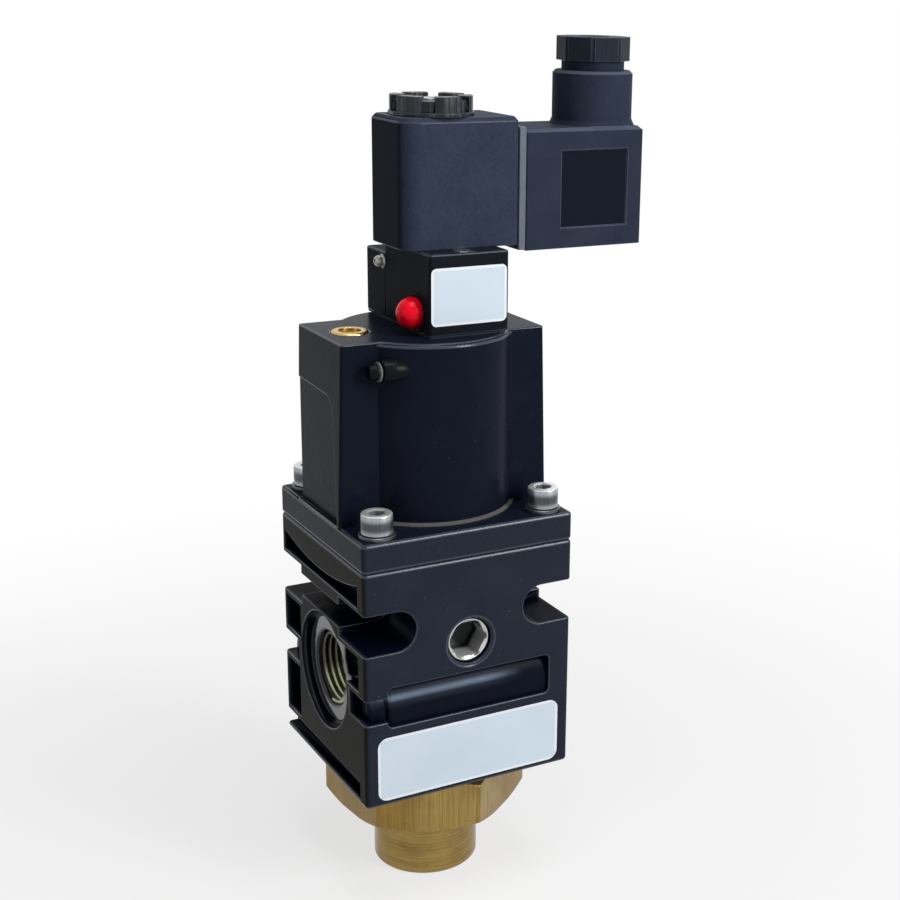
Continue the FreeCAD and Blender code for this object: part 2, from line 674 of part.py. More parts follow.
def piston_nut():
    z1 = PISTON_TOP + PISTON_NUT_HEIGHT - 1
    return hex_post(PISTON_NUT_FLATS, PISTON_TOP, z1).cut(post(STEM_END_RADIUS + THREAD_FIT, PISTON_TOP - 1, z1 + 1))


def coil_spring(radius, wire, turns, z0, z1, x=0.0, y=0.0):
    """Helical spring of six-sided wire between two levels."""
    pitch = (z1 - z0 - wire) / turns
    helix = Part.makeHelix(pitch, pitch * turns, radius)
    turns_of = [math.radians(60 * i) for i in range(7)]
    corners = [Vector(radius + wire / 2 * math.cos(a), 0, wire / 2 * math.sin(a)) for a in turns_of]
    section = Part.makePolygon(corners)
    spring = Part.Wire(helix).makePipeShell([section], True, True)
    spring.translate(Vector(x, y, z0 + wire / 2))
    return spring


def return_spring():
    return coil_spring(RETURN_SPRING_RADIUS, RETURN_SPRING_WIRE, RETURN_SPRING_TURNS,
                       BARREL_LENGTH, POPPET_BASE + POPPET_SEAL)


def wing():
    """Left wing: drafted outer face with a raised panel edge near the rear."""
    inner = -BONNET_RADIUS / 2
    points = [Vector(-SIDE, -WING_FRONT, FLANGE_TOP - 1), Vector(-SIDE + WING_DRAFT, -WING_FRONT, BONNET_TOP),
              Vector(inner, -WING_FRONT, BONNET_TOP), Vector(inner, -WING_FRONT, FLANGE_TOP - 1)]
    solid = prism(points, Vector(0, WING_FRONT + WING_REAR, 0))
    outer = [e for e in solid.Edges if e.BoundBox.XMax < -SIDE + WING_DRAFT + 0.01 and e.BoundBox.ZLength > 10]
    return solid.makeFillet(WING_ROUND, outer)


def wing_panel():
    """Shallow step on the wing's outer face, lower towards the rear."""
    x = -SIDE - 2
    front = -WING_FRONT * 0.62
    z0 = FLANGE_TOP
    top = FLANGE_TOP + BONNET_RISE * 0.69
    points = [Vector(x, -WING_FRONT * 0.86, z0), Vector(x, front, top - 8), Vector(x, front + 1.2, top - 2),
              Vector(x, front + 4, top), Vector(x, WING_REAR + 1, top + 0.8), Vector(x, WING_REAR + 1, z0)]
    return prism(points, Vector(2 + PANEL_STEP + WING_DRAFT * 0.7, 0, 0))


def vent_boss():
    """Small breather nozzle in the corner between wing and cylinder."""
    x0, y, z = VENT_X, VENT_Y, VENT_Z
    barrel = bar_x(2.0, x0, x0 + 6.5, y, z)
    tip = Part.makeCone(2.0, 0.9, 1.6, Vector(x0 + 6.5, y, z), Vector(1, 0, 0))
    neck = bar_x(1.3, x0 - 3.0, x0, y, z)
    root = box(x0 + 0.5, x0 + 6.0, y, y + 3.0, z - 1.2, z + 1.2)
    bore = bar_x(0.7, x0 - 4, x0 + 4, y, z)
    return union([barrel, tip, neck, root]).cut(bore)


def bonnet():
    """Die-cast cover: flange, piston cylinder, two wings and the top pad."""
    flange = rounded_block(-SIDE, SIDE, -FACE, FACE, BODY_TOP, FLANGE_TOP, CORNER_RADIUS, EDGE_BEVEL)
    crown = cone(BONNET_RADIUS, BONNET_RADIUS - 0.8, BONNET_TOP - 0.8, BONNET_TOP)
    barrel = post(BONNET_RADIUS, FLANGE_TOP - 1, BONNET_TOP - 0.8)
    ledge = cone(BONNET_RADIUS + LEDGE, BONNET_RADIUS, FLANGE_TOP, FLANGE_TOP + LEDGE)
    left = wing().cut(wing_panel())
    right = mirror_x(wing())
    solid = union([flange, barrel, crown, ledge, left, right, vent_boss()])
    cuts = [post(PISTON_BORE_RADIUS, BODY_TOP - 1, BORE_CEILING)]
    cuts += needle_cuts() + pilot_supply_cuts() + breather_cuts()
    cuts += [post(SCREW_RADIUS + 0.3, BODY_TOP - 1, FLANGE_TOP + 1, x, y) for x, y in screw_places()]
    cuts += [post(PILOT_SCREW_RADIUS, BONNET_TOP - 7, BONNET_TOP + 1, x, y) for x, y in pilot_screw_places()]
    for cut in cuts:
        solid = solid.cut(cut)
    return solid


def needle_cuts():
    """Bush seat, needle chamber and the two by-pass legs in the left wing."""
    bush = BUSH_RADIUS + THREAD_FIT
    mouth = NEEDLE_MOUTH
    room = NEEDLE_RADIUS + NEEDLE_CHAMBER
    link = mouth + room
    return [
        post(bush, BONNET_TOP - BUSH_LENGTH, BONNET_TOP + 1, NEEDLE_X, NEEDLE_Y),
        post(room, mouth, BONNET_TOP, NEEDLE_X, NEEDLE_Y),
        post(ORIFICE_RADIUS, BODY_TOP - 1, mouth + 1, NEEDLE_X, NEEDLE_Y),
        bar_y(PASSAGE_RADIUS, NEEDLE_Y, PASSAGE_RETURN_Y, NEEDLE_X, link),
        post(PASSAGE_RADIUS, BODY_TOP - 1, link, NEEDLE_X, PASSAGE_RETURN_Y),
    ]


def pilot_supply_cuts():
    """Supply up the right wing to the pad, and the pilot's outlets to the piston."""
    level = BONNET_TOP - BONNET_CROWN / 2
    return [
        post(SUPPLY_RADIUS, BODY_TOP - 1, level, -NEEDLE_X, 0),
        bar_x(SUPPLY_RADIUS, SUPPLY_X, -NEEDLE_X, 0, level),
        post(SUPPLY_RADIUS, level, BONNET_TOP + 1, SUPPLY_X, 0),
        post(OUTLET_RADIUS, BORE_CEILING - 1, BONNET_TOP + 1, TUBE_X, OUTLET_Y),
        post(SUPPLY_RADIUS, BORE_CEILING - 1, BONNET_TOP + 1, BLOCK_LEFT + OVERRIDE_OUTLET, OVERRIDE_Y),
    ]


def breather_cuts():
    """Vent of the space under the piston, out through the small nozzle."""
    low = FLANGE_TOP - BREATHER_RISE
    inward = Vector(-BREATHER_X, -BREATHER_Y, 0)
    start = Vector(BREATHER_X, BREATHER_Y, low)
    return [
        bar_x(BREATHER_RADIUS, VENT_X, BREATHER_X, VENT_Y, VENT_Z),
        post(BREATHER_RADIUS, low, VENT_Z, BREATHER_X, BREATHER_Y),
        Part.makeCylinder(BREATHER_RADIUS, PISTON_BORE_RADIUS / 2, start, inward),
    ]


def bonnet_screws():
    """Four socket head screws."""
    screws = []
    head = FLANGE_TOP + WASHER_HEIGHT
    for x, y in screw_places():
        top = head + SCREW_HEAD_HEIGHT
        solid = union([
            post(SCREW_RADIUS, FLANGE_TOP - SCREW_LENGTH, head, x, y),
            post(SCREW_HEAD_RADIUS, head, top - 0.5, x, y),
            cone(SCREW_HEAD_RADIUS, SCREW_HEAD_RADIUS - 0.5, top - 0.5, top, x, y)])
        screws.append(solid.cut(hex_post(SCREW_SOCKET_FLATS, top - 2.6, top + 1, x, y, turn=17)))
    return Part.makeCompound(screws)


def bonnet_washers():
    rings = []
    for x, y in screw_places():
        ring = post(WASHER_RADIUS, FLANGE_TOP, FLANGE_TOP + WASHER_HEIGHT, x, y)
        rings.append(ring.cut(post(SCREW_RADIUS + 0.15, FLANGE_TOP - 1, FLANGE_TOP + 3, x, y)))
    return Part.makeCompound(rings)


def needle_bush():
    """Brass insert in the left wing that holds the adjusting screw."""
    z0 = BONNET_TOP - BUSH_LENGTH
    z1 = BONNET_TOP + 0.4
    body = turned([
        (BUSH_BORE_RADIUS, z0 + 4), (BUSH_BORE_RADIUS, z1), (BUSH_RADIUS - 0.4, z1), (BUSH_RADIUS, z1 - 0.4),
        (BUSH_RADIUS, z0), (NEEDLE_RADIUS + RUNNING_FIT, z0), (NEEDLE_RADIUS + RUNNING_FIT, z0 + 4)])
    body.translate(Vector(NEEDLE_X, NEEDLE_Y, 0))
    return body


def adjusting_screw():
    """Captive screw with a driver slot; the keyed needle rises as it turns."""
    top = BONNET_TOP + 0.4 - ADJUSTER_SINK
    radius = BUSH_BORE_RADIUS - RUNNING_FIT
    screw = post(radius, top - ADJUSTER_LENGTH, top, NEEDLE_X, NEEDLE_Y)
    slot = box(NEEDLE_X - 0.5, NEEDLE_X + 0.5, NEEDLE_Y - radius - 1, NEEDLE_Y + radius + 1, top - 1.5, top + 1)
    end = NEEDLE_TIP + NEEDLE_LENGTH + NEEDLE_TAIL + 0.2
    bore = post(NEEDLE_TAIL_RADIUS + RUNNING_FIT, top - ADJUSTER_LENGTH - 1, end, NEEDLE_X, NEEDLE_Y)
    return screw.cut(slot).cut(bore)


def throttle_needle():
    """Tapered needle, raised as the screw turns."""
    z0 = NEEDLE_TIP
    z1 = z0 + NEEDLE_LENGTH
    tail = z1 + NEEDLE_TAIL
    rod = turned([(0, z0), (0.5, z0), (NEEDLE_RADIUS, z0 + NEEDLE_TAPER), (NEEDLE_RADIUS, z1),
                  (NEEDLE_TAIL_RADIUS, z1), (NEEDLE_TAIL_RADIUS, tail), (0, tail)])
    rod.translate(Vector(NEEDLE_X, NEEDLE_Y, 0))
    return rod


def pilot_screw_places():
    rear = BLOCK_FRONT + BLOCK_LENGTH + END_COVER_LENGTH / 2
    return [(BLOCK_X, BLOCK_FRONT + 3.2), (BLOCK_X, rear)]


def pilot_gasket():
    x0, x1 = BLOCK_LEFT + 0.6, BLOCK_LEFT + BLOCK_WIDTH - 0.6
    y0, y1 = BLOCK_FRONT + 0.6, BLOCK_FRONT + BLOCK_LENGTH + END_COVER_LENGTH - 0.6
    sheet = box(x0, x1, y0, y1, BONNET_TOP, PILOT_BASE)
    holes = [post(PILOT_SCREW_RADIUS + 0.1, BONNET_TOP - 1, PILOT_BASE + 1, x, y) for x, y in pilot_screw_places()]
    holes.append(post(SUPPLY_RADIUS, BONNET_TOP - 1, PILOT_BASE + 1, SUPPLY_X, 0))
    holes.append(post(OUTLET_RADIUS, BONNET_TOP - 1, PILOT_BASE + 1, TUBE_X, OUTLET_Y))
    holes.append(post(SUPPLY_RADIUS, BONNET_TOP - 1, PILOT_BASE + 1, BLOCK_LEFT + OVERRIDE_OUTLET, OVERRIDE_Y))
    return minus(sheet, holes)


def pilot_block():
    """Moulded pilot valve body under the coil."""
    rear = BLOCK_FRONT + BLOCK_LENGTH
    right = BLOCK_LEFT + BLOCK_WIDTH
    block = rounded_block(BLOCK_LEFT, right, BLOCK_FRONT, rear, PILOT_BASE, BLOCK_TOP, 0.8, 0.3)
    floor = BLOCK_TOP - TUBE_FLANGE_HEIGHT - 2
    x, y = pilot_screw_places()[0]
    level = PILOT_BASE + SUPPLY_RISE
    cuts = [
        post(TUBE_FLANGE_RADIUS + MOULD_FIT, BLOCK_TOP - TUBE_FLANGE_HEIGHT, BLOCK_TOP + 1, TUBE_X, 0),
        post(TUBE_RADIUS, floor, BLOCK_TOP, TUBE_X, 0),
        post(SUPPLY_RADIUS, level, floor + 1, TUBE_X, 0),
        bar_x(SUPPLY_RADIUS, TUBE_X, SUPPLY_X, 0, level),
        post(SUPPLY_RADIUS, PILOT_BASE - 1, level, SUPPLY_X, 0),
        post(OUTLET_RADIUS, PILOT_BASE - 1, floor + 1, TUBE_X, OUTLET_Y),
        bar_y(SUPPLY_RADIUS, OVERRIDE_Y, 0, BLOCK_LEFT + OVERRIDE_SUPPLY, level),
        post(SUPPLY_RADIUS, PILOT_BASE - 1, OVERRIDE_Z, BLOCK_LEFT + OVERRIDE_OUTLET, OVERRIDE_Y),
        bar_x(BUTTON_RADIUS + RUNNING_FIT, BLOCK_LEFT - 1, BLOCK_LEFT + 6.0, OVERRIDE_Y, OVERRIDE_Z),
        bar_x(BUTTON_STEM_RADIUS + RUNNING_FIT, BLOCK_LEFT + 5, BLOCK_LEFT + BUTTON_BORE_END, OVERRIDE_Y, OVERRIDE_Z),
        post(PILOT_SCREW_RADIUS + 0.1, PILOT_BASE - 1, BLOCK_TOP + 1, x, y),
        post(PILOT_SCREW_HEAD + 0.15, BLOCK_TOP - 3.0, BLOCK_TOP + 1, x, y),
    ]
    return minus(block, cuts)


def pilot_end_cover():
    half = BLOCK_WIDTH / 2 - 0.4
    y0 = BLOCK_FRONT + BLOCK_LENGTH
    y1 = y0 + END_COVER_LENGTH
    top = BLOCK_TOP - END_COVER_DROP
    cover = rounded_block(BLOCK_X - half, BLOCK_X + half, y0, y1, PILOT_BASE, top, 1.0, 0.3)
    x, y = pilot_screw_places()[1]
    left = BLOCK_X - half
    return minus(cover, [
        post(PILOT_SCREW_RADIUS + 0.1, PILOT_BASE - 1, BLOCK_TOP + 1, x, y),
        post(PILOT_SCREW_HEAD + 0.15, top - 3.0, top + 1, x, y),
        bar_x(2.0, left - 1, left + 3.0, y0 + 2.6, BLOCK_TOP - 6.3),
    ])


def passage_plug():
    """Small bright plug that closes a drilled passage of the end cover."""
    left = BLOCK_LEFT + 0.4
    y = BLOCK_FRONT + BLOCK_LENGTH + 2.6
    plug = bar_x(2.0 - THREAD_FIT, left - 0.2, left + 3.0, y, BLOCK_TOP - 6.3)
    return plug.cut(bar_x(0.8, left - 1, left + 1.2, y, BLOCK_TOP - 6.3))


def pilot_screws():
    screws = []
    for (x, y), top in zip(pilot_screw_places(), (BLOCK_TOP, BLOCK_TOP - END_COVER_DROP)):
        solid = union([post(PILOT_SCREW_RADIUS - THREAD_FIT, BONNET_TOP - 6, top - 3.0, x, y),
                       post(PILOT_SCREW_HEAD, top - 3.0, top - 0.3, x, y)])
        screws.append(solid.cut(hex_post(2.5, top - 1.8, top + 1, x, y)))
    return Part.makeCompound(screws)


def override_collar():
    left = BLOCK_LEFT
    ring = bar_x(COLLAR_RADIUS, left - COLLAR_HEIGHT, left, OVERRIDE_Y, OVERRIDE_Z)
    return ring.cut(bar_x(BUTTON_RADIUS + 0.3, left - 2, left + 1, OVERRIDE_Y, OVERRIDE_Z))


def override_button():
    """Red domed push button with its stem."""
    left = BLOCK_LEFT
    face = left - BUTTON_STRAIGHT
    head = bar_x(BUTTON_RADIUS, face, left + 3.5, OVERRIDE_Y, OVERRIDE_Z)
    dome = Part.makeSphere(BUTTON_RADIUS, Vector(face, OVERRIDE_Y, OVERRIDE_Z))
    dome = dome.cut(bar_x(BUTTON_RADIUS + 1, face, face + 10, OVERRIDE_Y, OVERRIDE_Z))
    rod = bar_x(BUTTON_STEM_RADIUS, left + 3, left + BUTTON_STEM_END, OVERRIDE_Y, OVERRIDE_Z)
    start = left + WAIST_START
    waist = bar_x(BUTTON_STEM_RADIUS + 1, start, start + WAIST_LENGTH, OVERRIDE_Y, OVERRIDE_Z)
    waist = waist.cut(bar_x(WAIST_RADIUS, start - 1, start + WAIST_LENGTH + 1, OVERRIDE_Y, OVERRIDE_Z))
    return union([head, dome, rod]).cut(waist)


def override_spring():
    """Return spring behind the button's stem, lying along X."""
    left = BLOCK_LEFT + BUTTON_STEM_END
    spring = coil_spring(1.4, 0.5, 4, 0, BUTTON_BORE_END - BUTTON_STEM_END)
    spring.rotate(Vector(0, 0, 0), Vector(0, 1, 0), 90)
    spring.translate(Vector(left, OVERRIDE_Y, OVERRIDE_Z))
    return spring


def armature_tube():
    """Thin tube on a flange, threaded at its closed top for the coil nut."""
    base = BLOCK_TOP - TUBE_FLANGE_HEIGHT
    top = COIL_TOP + NUT_HEIGHT - 2.0
    tube = union([post(TUBE_FLANGE_RADIUS, base, BLOCK_TOP, TUBE_X, 0), post(TUBE_RADIUS, base, top, TUBE_X, 0)])
    tube = tube.cut(post(TUBE_RADIUS - TUBE_WALL, base - 1, top - 12, TUBE_X, 0))
    return tube.cut(post(0.8, top - 13, top + 1, TUBE_X, 0))


def nozzle():
    floor = BLOCK_TOP - TUBE_FLANGE_HEIGHT - 2
    seat = cone(NOZZLE_RADIUS + 1, NOZZLE_RADIUS - 0.8, floor, floor + 2, TUBE_X, 0)
    return seat.cut(post(0.6, floor - 1, floor + 3, TUBE_X, 0))


def plunger():
    """Sliding steel core with a rubber tip face, at rest on the nozzle."""
    z0 = BLOCK_TOP - TUBE_FLANGE_HEIGHT + SEAT_GAP
    radius = TUBE_RADIUS - TUBE_WALL - RUNNING_FIT
    core = post(radius, z0, z0 + PLUNGER_LENGTH, TUBE_X, 0)
    pocket = post(2.3, z0 + PLUNGER_LENGTH - 5, z0 + PLUNGER_LENGTH + 1, TUBE_X, 0)
    flat = box(TUBE_X + radius - 0.5, TUBE_X + radius + 1, -3, 3, z0 - 1, z0 + PLUNGER_LENGTH + 1)
    return core.cut(pocket).cut(flat)


def pole_piece():
    """Fixed core above the plunger."""
    z0 = BLOCK_TOP - TUBE_FLANGE_HEIGHT + SEAT_GAP + PLUNGER_LENGTH + PLUNGER_TRAVEL + SEAT_GAP
    z1 = COIL_TOP + NUT_HEIGHT - 14.0
    core = post(TUBE_RADIUS - TUBE_WALL - MOULD_FIT, z0, z1, TUBE_X, 0)
    return core.cut(post(0.8, z0 - 1, z1 + 1, TUBE_X, 0))


def plunger_spring():
    z0 = BLOCK_TOP - TUBE_FLANGE_HEIGHT + SEAT_GAP + PLUNGER_LENGTH
    return coil_spring(1.7, 0.5, 4, z0 - 5, z0 + PLUNGER_TRAVEL + SEAT_GAP, TUBE_X, 0)


def coil_shell():
    """Outer shape of the moulded coil: front left corner round, top edge stepped."""
    half = COIL_WIDTH / 2
    shell = box(COIL_LEFT, COIL_RIGHT, -half, half, BLOCK_TOP, COIL_TOP)
    upright = upright_edges(shell, BLOCK_TOP, COIL_TOP)
    round_edge = [e for e in upright if e.BoundBox.XMax < TUBE_X and e.BoundBox.YMax < 0]
    shell = shell.makeFillet(COIL_ROUND, round_edge)
    upright = upright_edges(shell, BLOCK_TOP, COIL_TOP)
    tight = [e for e in upright if e.BoundBox.XMin > COIL_RIGHT - 1 or e.BoundBox.YMin > half - 1]
    shell = shell.makeFillet(COIL_STEP + 0.4, tight)
    rim = [e for e in shell.Edges if e.BoundBox.ZMin > COIL_TOP - 1e-6]
    return shell.makeChamfer(COIL_STEP, rim)


def winding():
    z0 = BLOCK_TOP + (COIL_HEIGHT - WINDING_HEIGHT) / 2
    ring = post(WINDING_RADIUS, z0, z0 + WINDING_HEIGHT, TUBE_X, 0)
    return ring.cut(post(TUBE_RADIUS + 1.2, z0 - 1, z0 + WINDING_HEIGHT + 1, TUBE_X, 0))


def coil_housing():
    z0 = BLOCK_TOP + (COIL_HEIGHT - WINDING_HEIGHT) / 2
    room = post(WINDING_RADIUS + MOULD_FIT, z0, z0 + WINDING_HEIGHT, TUBE_X, 0)
    room = room.cut(post(TUBE_RADIUS + 1.2 - MOULD_FIT, z0, z0 + WINDING_HEIGHT, TUBE_X, 0))
    shell = coil_shell().cut(post(TUBE_RADIUS + MOULD_FIT, BLOCK_TOP - 1, COIL_TOP + 1, TUBE_X, 0)).cut(room)
    for level in (BLOCK_TOP, COIL_TOP - COIL_SEAL_WIDTH):
        outer = TUBE_RADIUS + COIL_SEAL_WIDTH + MOULD_FIT
        shell = shell.cut(post(outer, level, level + COIL_SEAL_WIDTH, TUBE_X, 0))
    return minus(shell, [pin.common(box(COIL_RIGHT - 4, COIL_RIGHT + 1, -20, 20, 0, 300)) for pin in pin_blades(0)])


def coil_seals():
    """Square rings round the tube, under and over the coil."""
    rings = []
    for level in (BLOCK_TOP, COIL_TOP - COIL_SEAL_WIDTH):
        ring = post(TUBE_RADIUS + COIL_SEAL_WIDTH, level, level + COIL_SEAL_WIDTH, TUBE_X, 0)
        rings.append(ring.cut(post(TUBE_RADIUS, level - 1, level + 3, TUBE_X, 0)))
    return Part.makeCompound(rings)


def coil_nut():
    """Hand nut with crown lobes round the top."""
    z0 = COIL_TOP
    z1 = z0 + NUT_HEIGHT
    disc = union([post(NUT_RADIUS, z0, z0 + NUT_RING, TUBE_X, 0),
                  post(NUT_RADIUS - 1.5, z0, z1 - 1.4, TUBE_X, 0)])
    lobes = []
    for i in range(NUT_LOBES):
        centre = 360.0 * i / NUT_LOBES + 30
        half = 360.0 / NUT_LOBES * 0.33
        sector = Part.makeCylinder(NUT_RADIUS - 0.4, z1 - z0, Vector(TUBE_X, 0, z0), Vector(0, 0, 1), 2 * half)
        sector = sector.cut(post(NUT_RADIUS - 4.2, z0 - 1, z1 + 1, TUBE_X, 0))
        sector.rotate(Vector(TUBE_X, 0, z0), Vector(0, 0, 1), centre - half)
        lobes.append(sector)
    nut = union([disc] + lobes)
    nut = nut.cut(post(1.2, z0, z1 + 1, TUBE_X, 0))
    return nut.cut(post(TUBE_RADIUS + THREAD_FIT, z0 - 1, z1 - 2.0, TUBE_X, 0))


def pin_blades(grow):
    """Three contact blades from the coil into the connector."""
    x0, x1 = COIL_RIGHT - 4.0 - grow, COIL_RIGHT + PIN_LENGTH + grow
    wide = PIN_WIDTH / 2 + grow
    thin = PIN_THICKNESS / 2 + grow
    middle = BLOCK_TOP + COIL_HEIGHT / 2 - 1
    return [
        box(x0, x1, -5.5 - thin, -5.5 + thin, middle - wide, middle + wide),
        box(x0, x1, 5.5 - thin, 5.5 + thin, middle - wide, middle + wide),
        box(x0, x1, -wide, wide, middle - 9 - thin, middle - 9 + thin),
    ]


def terminal_blades():
    return Part.makeCompound(pin_blades(0))


def connector_screw_level():
    return BLOCK_TOP + COIL_HEIGHT / 2 - 1


def connector_gasket():
    half = COIL_WIDTH / 2
    z0 = PLUG_BASE + 0.3
    z1 = PLUG_TOP + 0.6
    sheet = box(COIL_RIGHT, PLUG_LEFT, -half + 0.2, half - 0.2, z0, z1)
    hole = bar_x(1.7, COIL_RIGHT - 1, PLUG_LEFT + 1, 0, connector_screw_level())
    return minus(sheet, pin_blades(0.15) + [hole])


def connector_plug():
    """Angled plug housing with a cable neck on top."""
    half = COIL_WIDTH / 2
    right = PLUG_LEFT + PLUG_LENGTH
    shell = box(PLUG_LEFT, right, -half, half, PLUG_BASE, PLUG_TOP)
    rims = [e for e in shell.Edges if e.BoundBox.ZMin > PLUG_TOP - 1e-6 and e.BoundBox.XMax > PLUG_LEFT + 1]
    shell = shell.makeChamfer(PLUG_BEVEL, rims)
    shell = shell.makeFillet(PLUG_ROUND, upright_edges(shell, PLUG_BASE, PLUG_TOP - PLUG_BEVEL))
    flare = cone(NECK_RADIUS + 1.2, NECK_RADIUS, PLUG_TOP - PLUG_BEVEL, PLUG_TOP + 1.6, NECK_X, 0)
    flare = flare.common(box(PLUG_LEFT, right, -half + 0.05, half - 0.05, PLUG_BASE, NECK_TOP))
    neck = union([post(NECK_RADIUS, PLUG_TOP - 2, NECK_TOP - 0.8, NECK_X, 0),
                  cone(NECK_RADIUS, NECK_RADIUS - 0.8, NECK_TOP - 0.8, NECK_TOP, NECK_X, 0),
                  post(STUB_RADIUS, NECK_TOP - 1, NECK_TOP + STUB_HEIGHT, NECK_X, 0)])
    solid = union([shell, neck, flare])
    panel_x = PLUG_LEFT + 10.9
    panel_z = PLUG_BASE + 5.6
    panel = box(panel_x, panel_x + PLUG_PANEL, -half - 1, -half + 0.5, panel_z, panel_z + PLUG_PANEL)
    well = bar_x(3.4, right - 3.0, right + 1, 0, connector_screw_level())
    shaft = bar_x(1.7, PLUG_LEFT - 1, right, 0, connector_screw_level())
    return minus(solid, [
        panel, well, shaft, carrier_room(0),
        post(CABLE_RADIUS + 1.4, PLUG_TOP - 8, NECK_TOP + STUB_HEIGHT - 6.0, NECK_X, 0),
        post(STUB_RADIUS - 1.6, NECK_TOP + STUB_HEIGHT - 6.0, NECK_TOP + STUB_HEIGHT + 1, NECK_X, 0)])


def carrier_room(shrink):
    half = COIL_WIDTH / 2 - 2.0 - shrink
    z0 = PLUG_BASE + 3.0 + shrink
    z1 = PLUG_TOP - 6.0 - shrink
    x0 = PLUG_LEFT if shrink else PLUG_LEFT - 1
    return box(x0, PLUG_LEFT + 13.0 - shrink, -half, half, z0, z1)


def contact_carrier():
    block = carrier_room(MOULD_FIT)
    hole = bar_x(1.8, PLUG_LEFT - 1, PLUG_LEFT + 20, 0, connector_screw_level())
    return minus(block, pin_blades(0.15) + [hole])


def connector_screw():
    right = PLUG_LEFT + PLUG_LENGTH
    z = connector_screw_level()
    screw = union([bar_x(1.5, COIL_RIGHT, right - 3.0, 0, z), bar_x(3.0, right - 3.0, right - 0.8, 0, z)])
    return screw.cut(box(right - 1.8, right + 1, -4, 4, z - 0.4, z + 0.4))


def gland_seal():
    z0 = NECK_TOP + STUB_HEIGHT - 6.0
    ring = post(STUB_RADIUS - 1.6 - MOULD_FIT, z0, z0 + 4.0, NECK_X, 0)
    return ring.cut(post(CABLE_RADIUS, z0 - 1, z0 + 5.0, NECK_X, 0))


def gland_washer():
    z0 = NECK_TOP + STUB_HEIGHT - 2.0
    ring = post(STUB_RADIUS - 1.6 - MOULD_FIT, z0, z0 + 1.2, NECK_X, 0)
    return ring.cut(post(CABLE_RADIUS + 0.4, z0 - 1, z0 + 3.0, NECK_X, 0))


def gland_nut():
    """Eight-sided cable gland nut with notched corners."""
    z0 = GLAND_BASE
    z1 = z0 + GLAND_NUT_HEIGHT
    solid = polygon_post(8, GLAND_NUT_RADIUS, GLAND_NUT_TURN, z0, z1, NECK_X, 0)
    solid = solid.common(cone(GLAND_NUT_RADIUS + 0.6, GLAND_NUT_RADIUS + 0.1, z0, z1, NECK_X, 0))
    room = post(STUB_RADIUS + THREAD_FIT, z0 - 1, NECK_TOP + STUB_HEIGHT + 0.1, NECK_X, 0)
    mouth = post(CABLE_RADIUS + 1.2, z0, z1 + 1, NECK_X, 0)
    solid = solid.cut(room).cut(mouth)
    for i in range(8):
        angle = math.radians(GLAND_NUT_TURN + 45 * i)
        x = NECK_X + (GLAND_NUT_RADIUS + 0.1) * math.cos(angle)
        y = (GLAND_NUT_RADIUS + 0.1) * math.sin(angle)
        solid = solid.cut(post(0.55, z0 - 1, z1 + 1, x, y))
    return solid


NODES = {
    "exhaust_fitting": exhaust_fitting,
    "fitting_seal": lambda: seal_ring(BODY_BASE, 1),
    "valve_body": valve_body,
    "gauge_port_plugs": gauge_plugs,
    "body_seal": lambda: seal_ring(BODY_TOP, -1),
    "passage_seals": passage_seals,
    "stem_guide": stem_guide,
    "stem_seal": stem_seal,
    "stem": stem,
    "poppet": poppet,
    "inlet_seal": inlet_seal,
    "exhaust_seal": exhaust_seal,
    "poppet_nut": poppet_nut,
    "piston": piston,
    "piston_seal": piston_seal,
    "piston_nut": piston_nut,
    "return_spring": return_spring,
    "bonnet": bonnet,
    "bonnet_screws": bonnet_screws,
    "bonnet_washers": bonnet_washers,
    "needle_bush": needle_bush,
    "adjusting_screw": adjusting_screw,
    "throttle_needle": throttle_needle,
    "pilot_gasket": pilot_gasket,
    "pilot_block": pilot_block,
    "pilot_end_cover": pilot_end_cover,
    "passage_plug": passage_plug,
    "pilot_screws": pilot_screws,
    "override_collar": override_collar,
    "override_button": override_button,
    "override_spring": override_spring,
    "nozzle": nozzle,
    "armature_tube": armature_tube,
    "plunger": plunger,
    "plunger_spring": plunger_spring,
    "pole_piece": pole_piece,
    "coil_housing": coil_housing,
    "coil_winding": winding,
    "coil_seals": coil_seals,
    "coil_nut": coil_nut,
    "terminal_blades": terminal_blades,
    "connector_gasket": connector_gasket,
    "connector_plug": connector_plug,
    "contact_carrier": contact_carrier,
    "connector_screw": connector_screw,
    "gland_seal": gland_seal,
    "gland_washer": gland_washer,
    "gland_nut": gland_nut,
}

for node, make in NODES.items():
    shape = make()
    save(node, shape)
    print(node, len(shape.Solids), round(shape.Volume, 1), shape.isValid())
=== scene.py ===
import math

import bmesh
import bpy
from mathutils import Matrix, Vector


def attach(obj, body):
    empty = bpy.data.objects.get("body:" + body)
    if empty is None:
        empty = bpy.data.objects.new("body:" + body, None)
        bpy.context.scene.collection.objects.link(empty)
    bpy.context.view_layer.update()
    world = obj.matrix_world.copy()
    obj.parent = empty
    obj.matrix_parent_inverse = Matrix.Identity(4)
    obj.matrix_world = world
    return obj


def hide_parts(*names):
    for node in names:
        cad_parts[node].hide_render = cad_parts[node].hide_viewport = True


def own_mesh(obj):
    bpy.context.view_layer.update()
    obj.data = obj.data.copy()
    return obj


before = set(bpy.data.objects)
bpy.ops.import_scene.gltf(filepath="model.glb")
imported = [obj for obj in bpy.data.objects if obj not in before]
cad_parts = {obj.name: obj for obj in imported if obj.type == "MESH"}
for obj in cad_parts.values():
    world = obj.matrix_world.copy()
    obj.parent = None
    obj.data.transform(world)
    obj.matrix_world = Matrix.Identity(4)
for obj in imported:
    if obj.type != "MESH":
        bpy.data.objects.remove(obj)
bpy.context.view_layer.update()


# Exhaust fitting: a turned brass hexagon adaptor screwed into the body from below. Its flats
# keep the drawn bar's upright streaks, the barrel under them shows fine turning rings, and the
# open bore has a pipe thread.

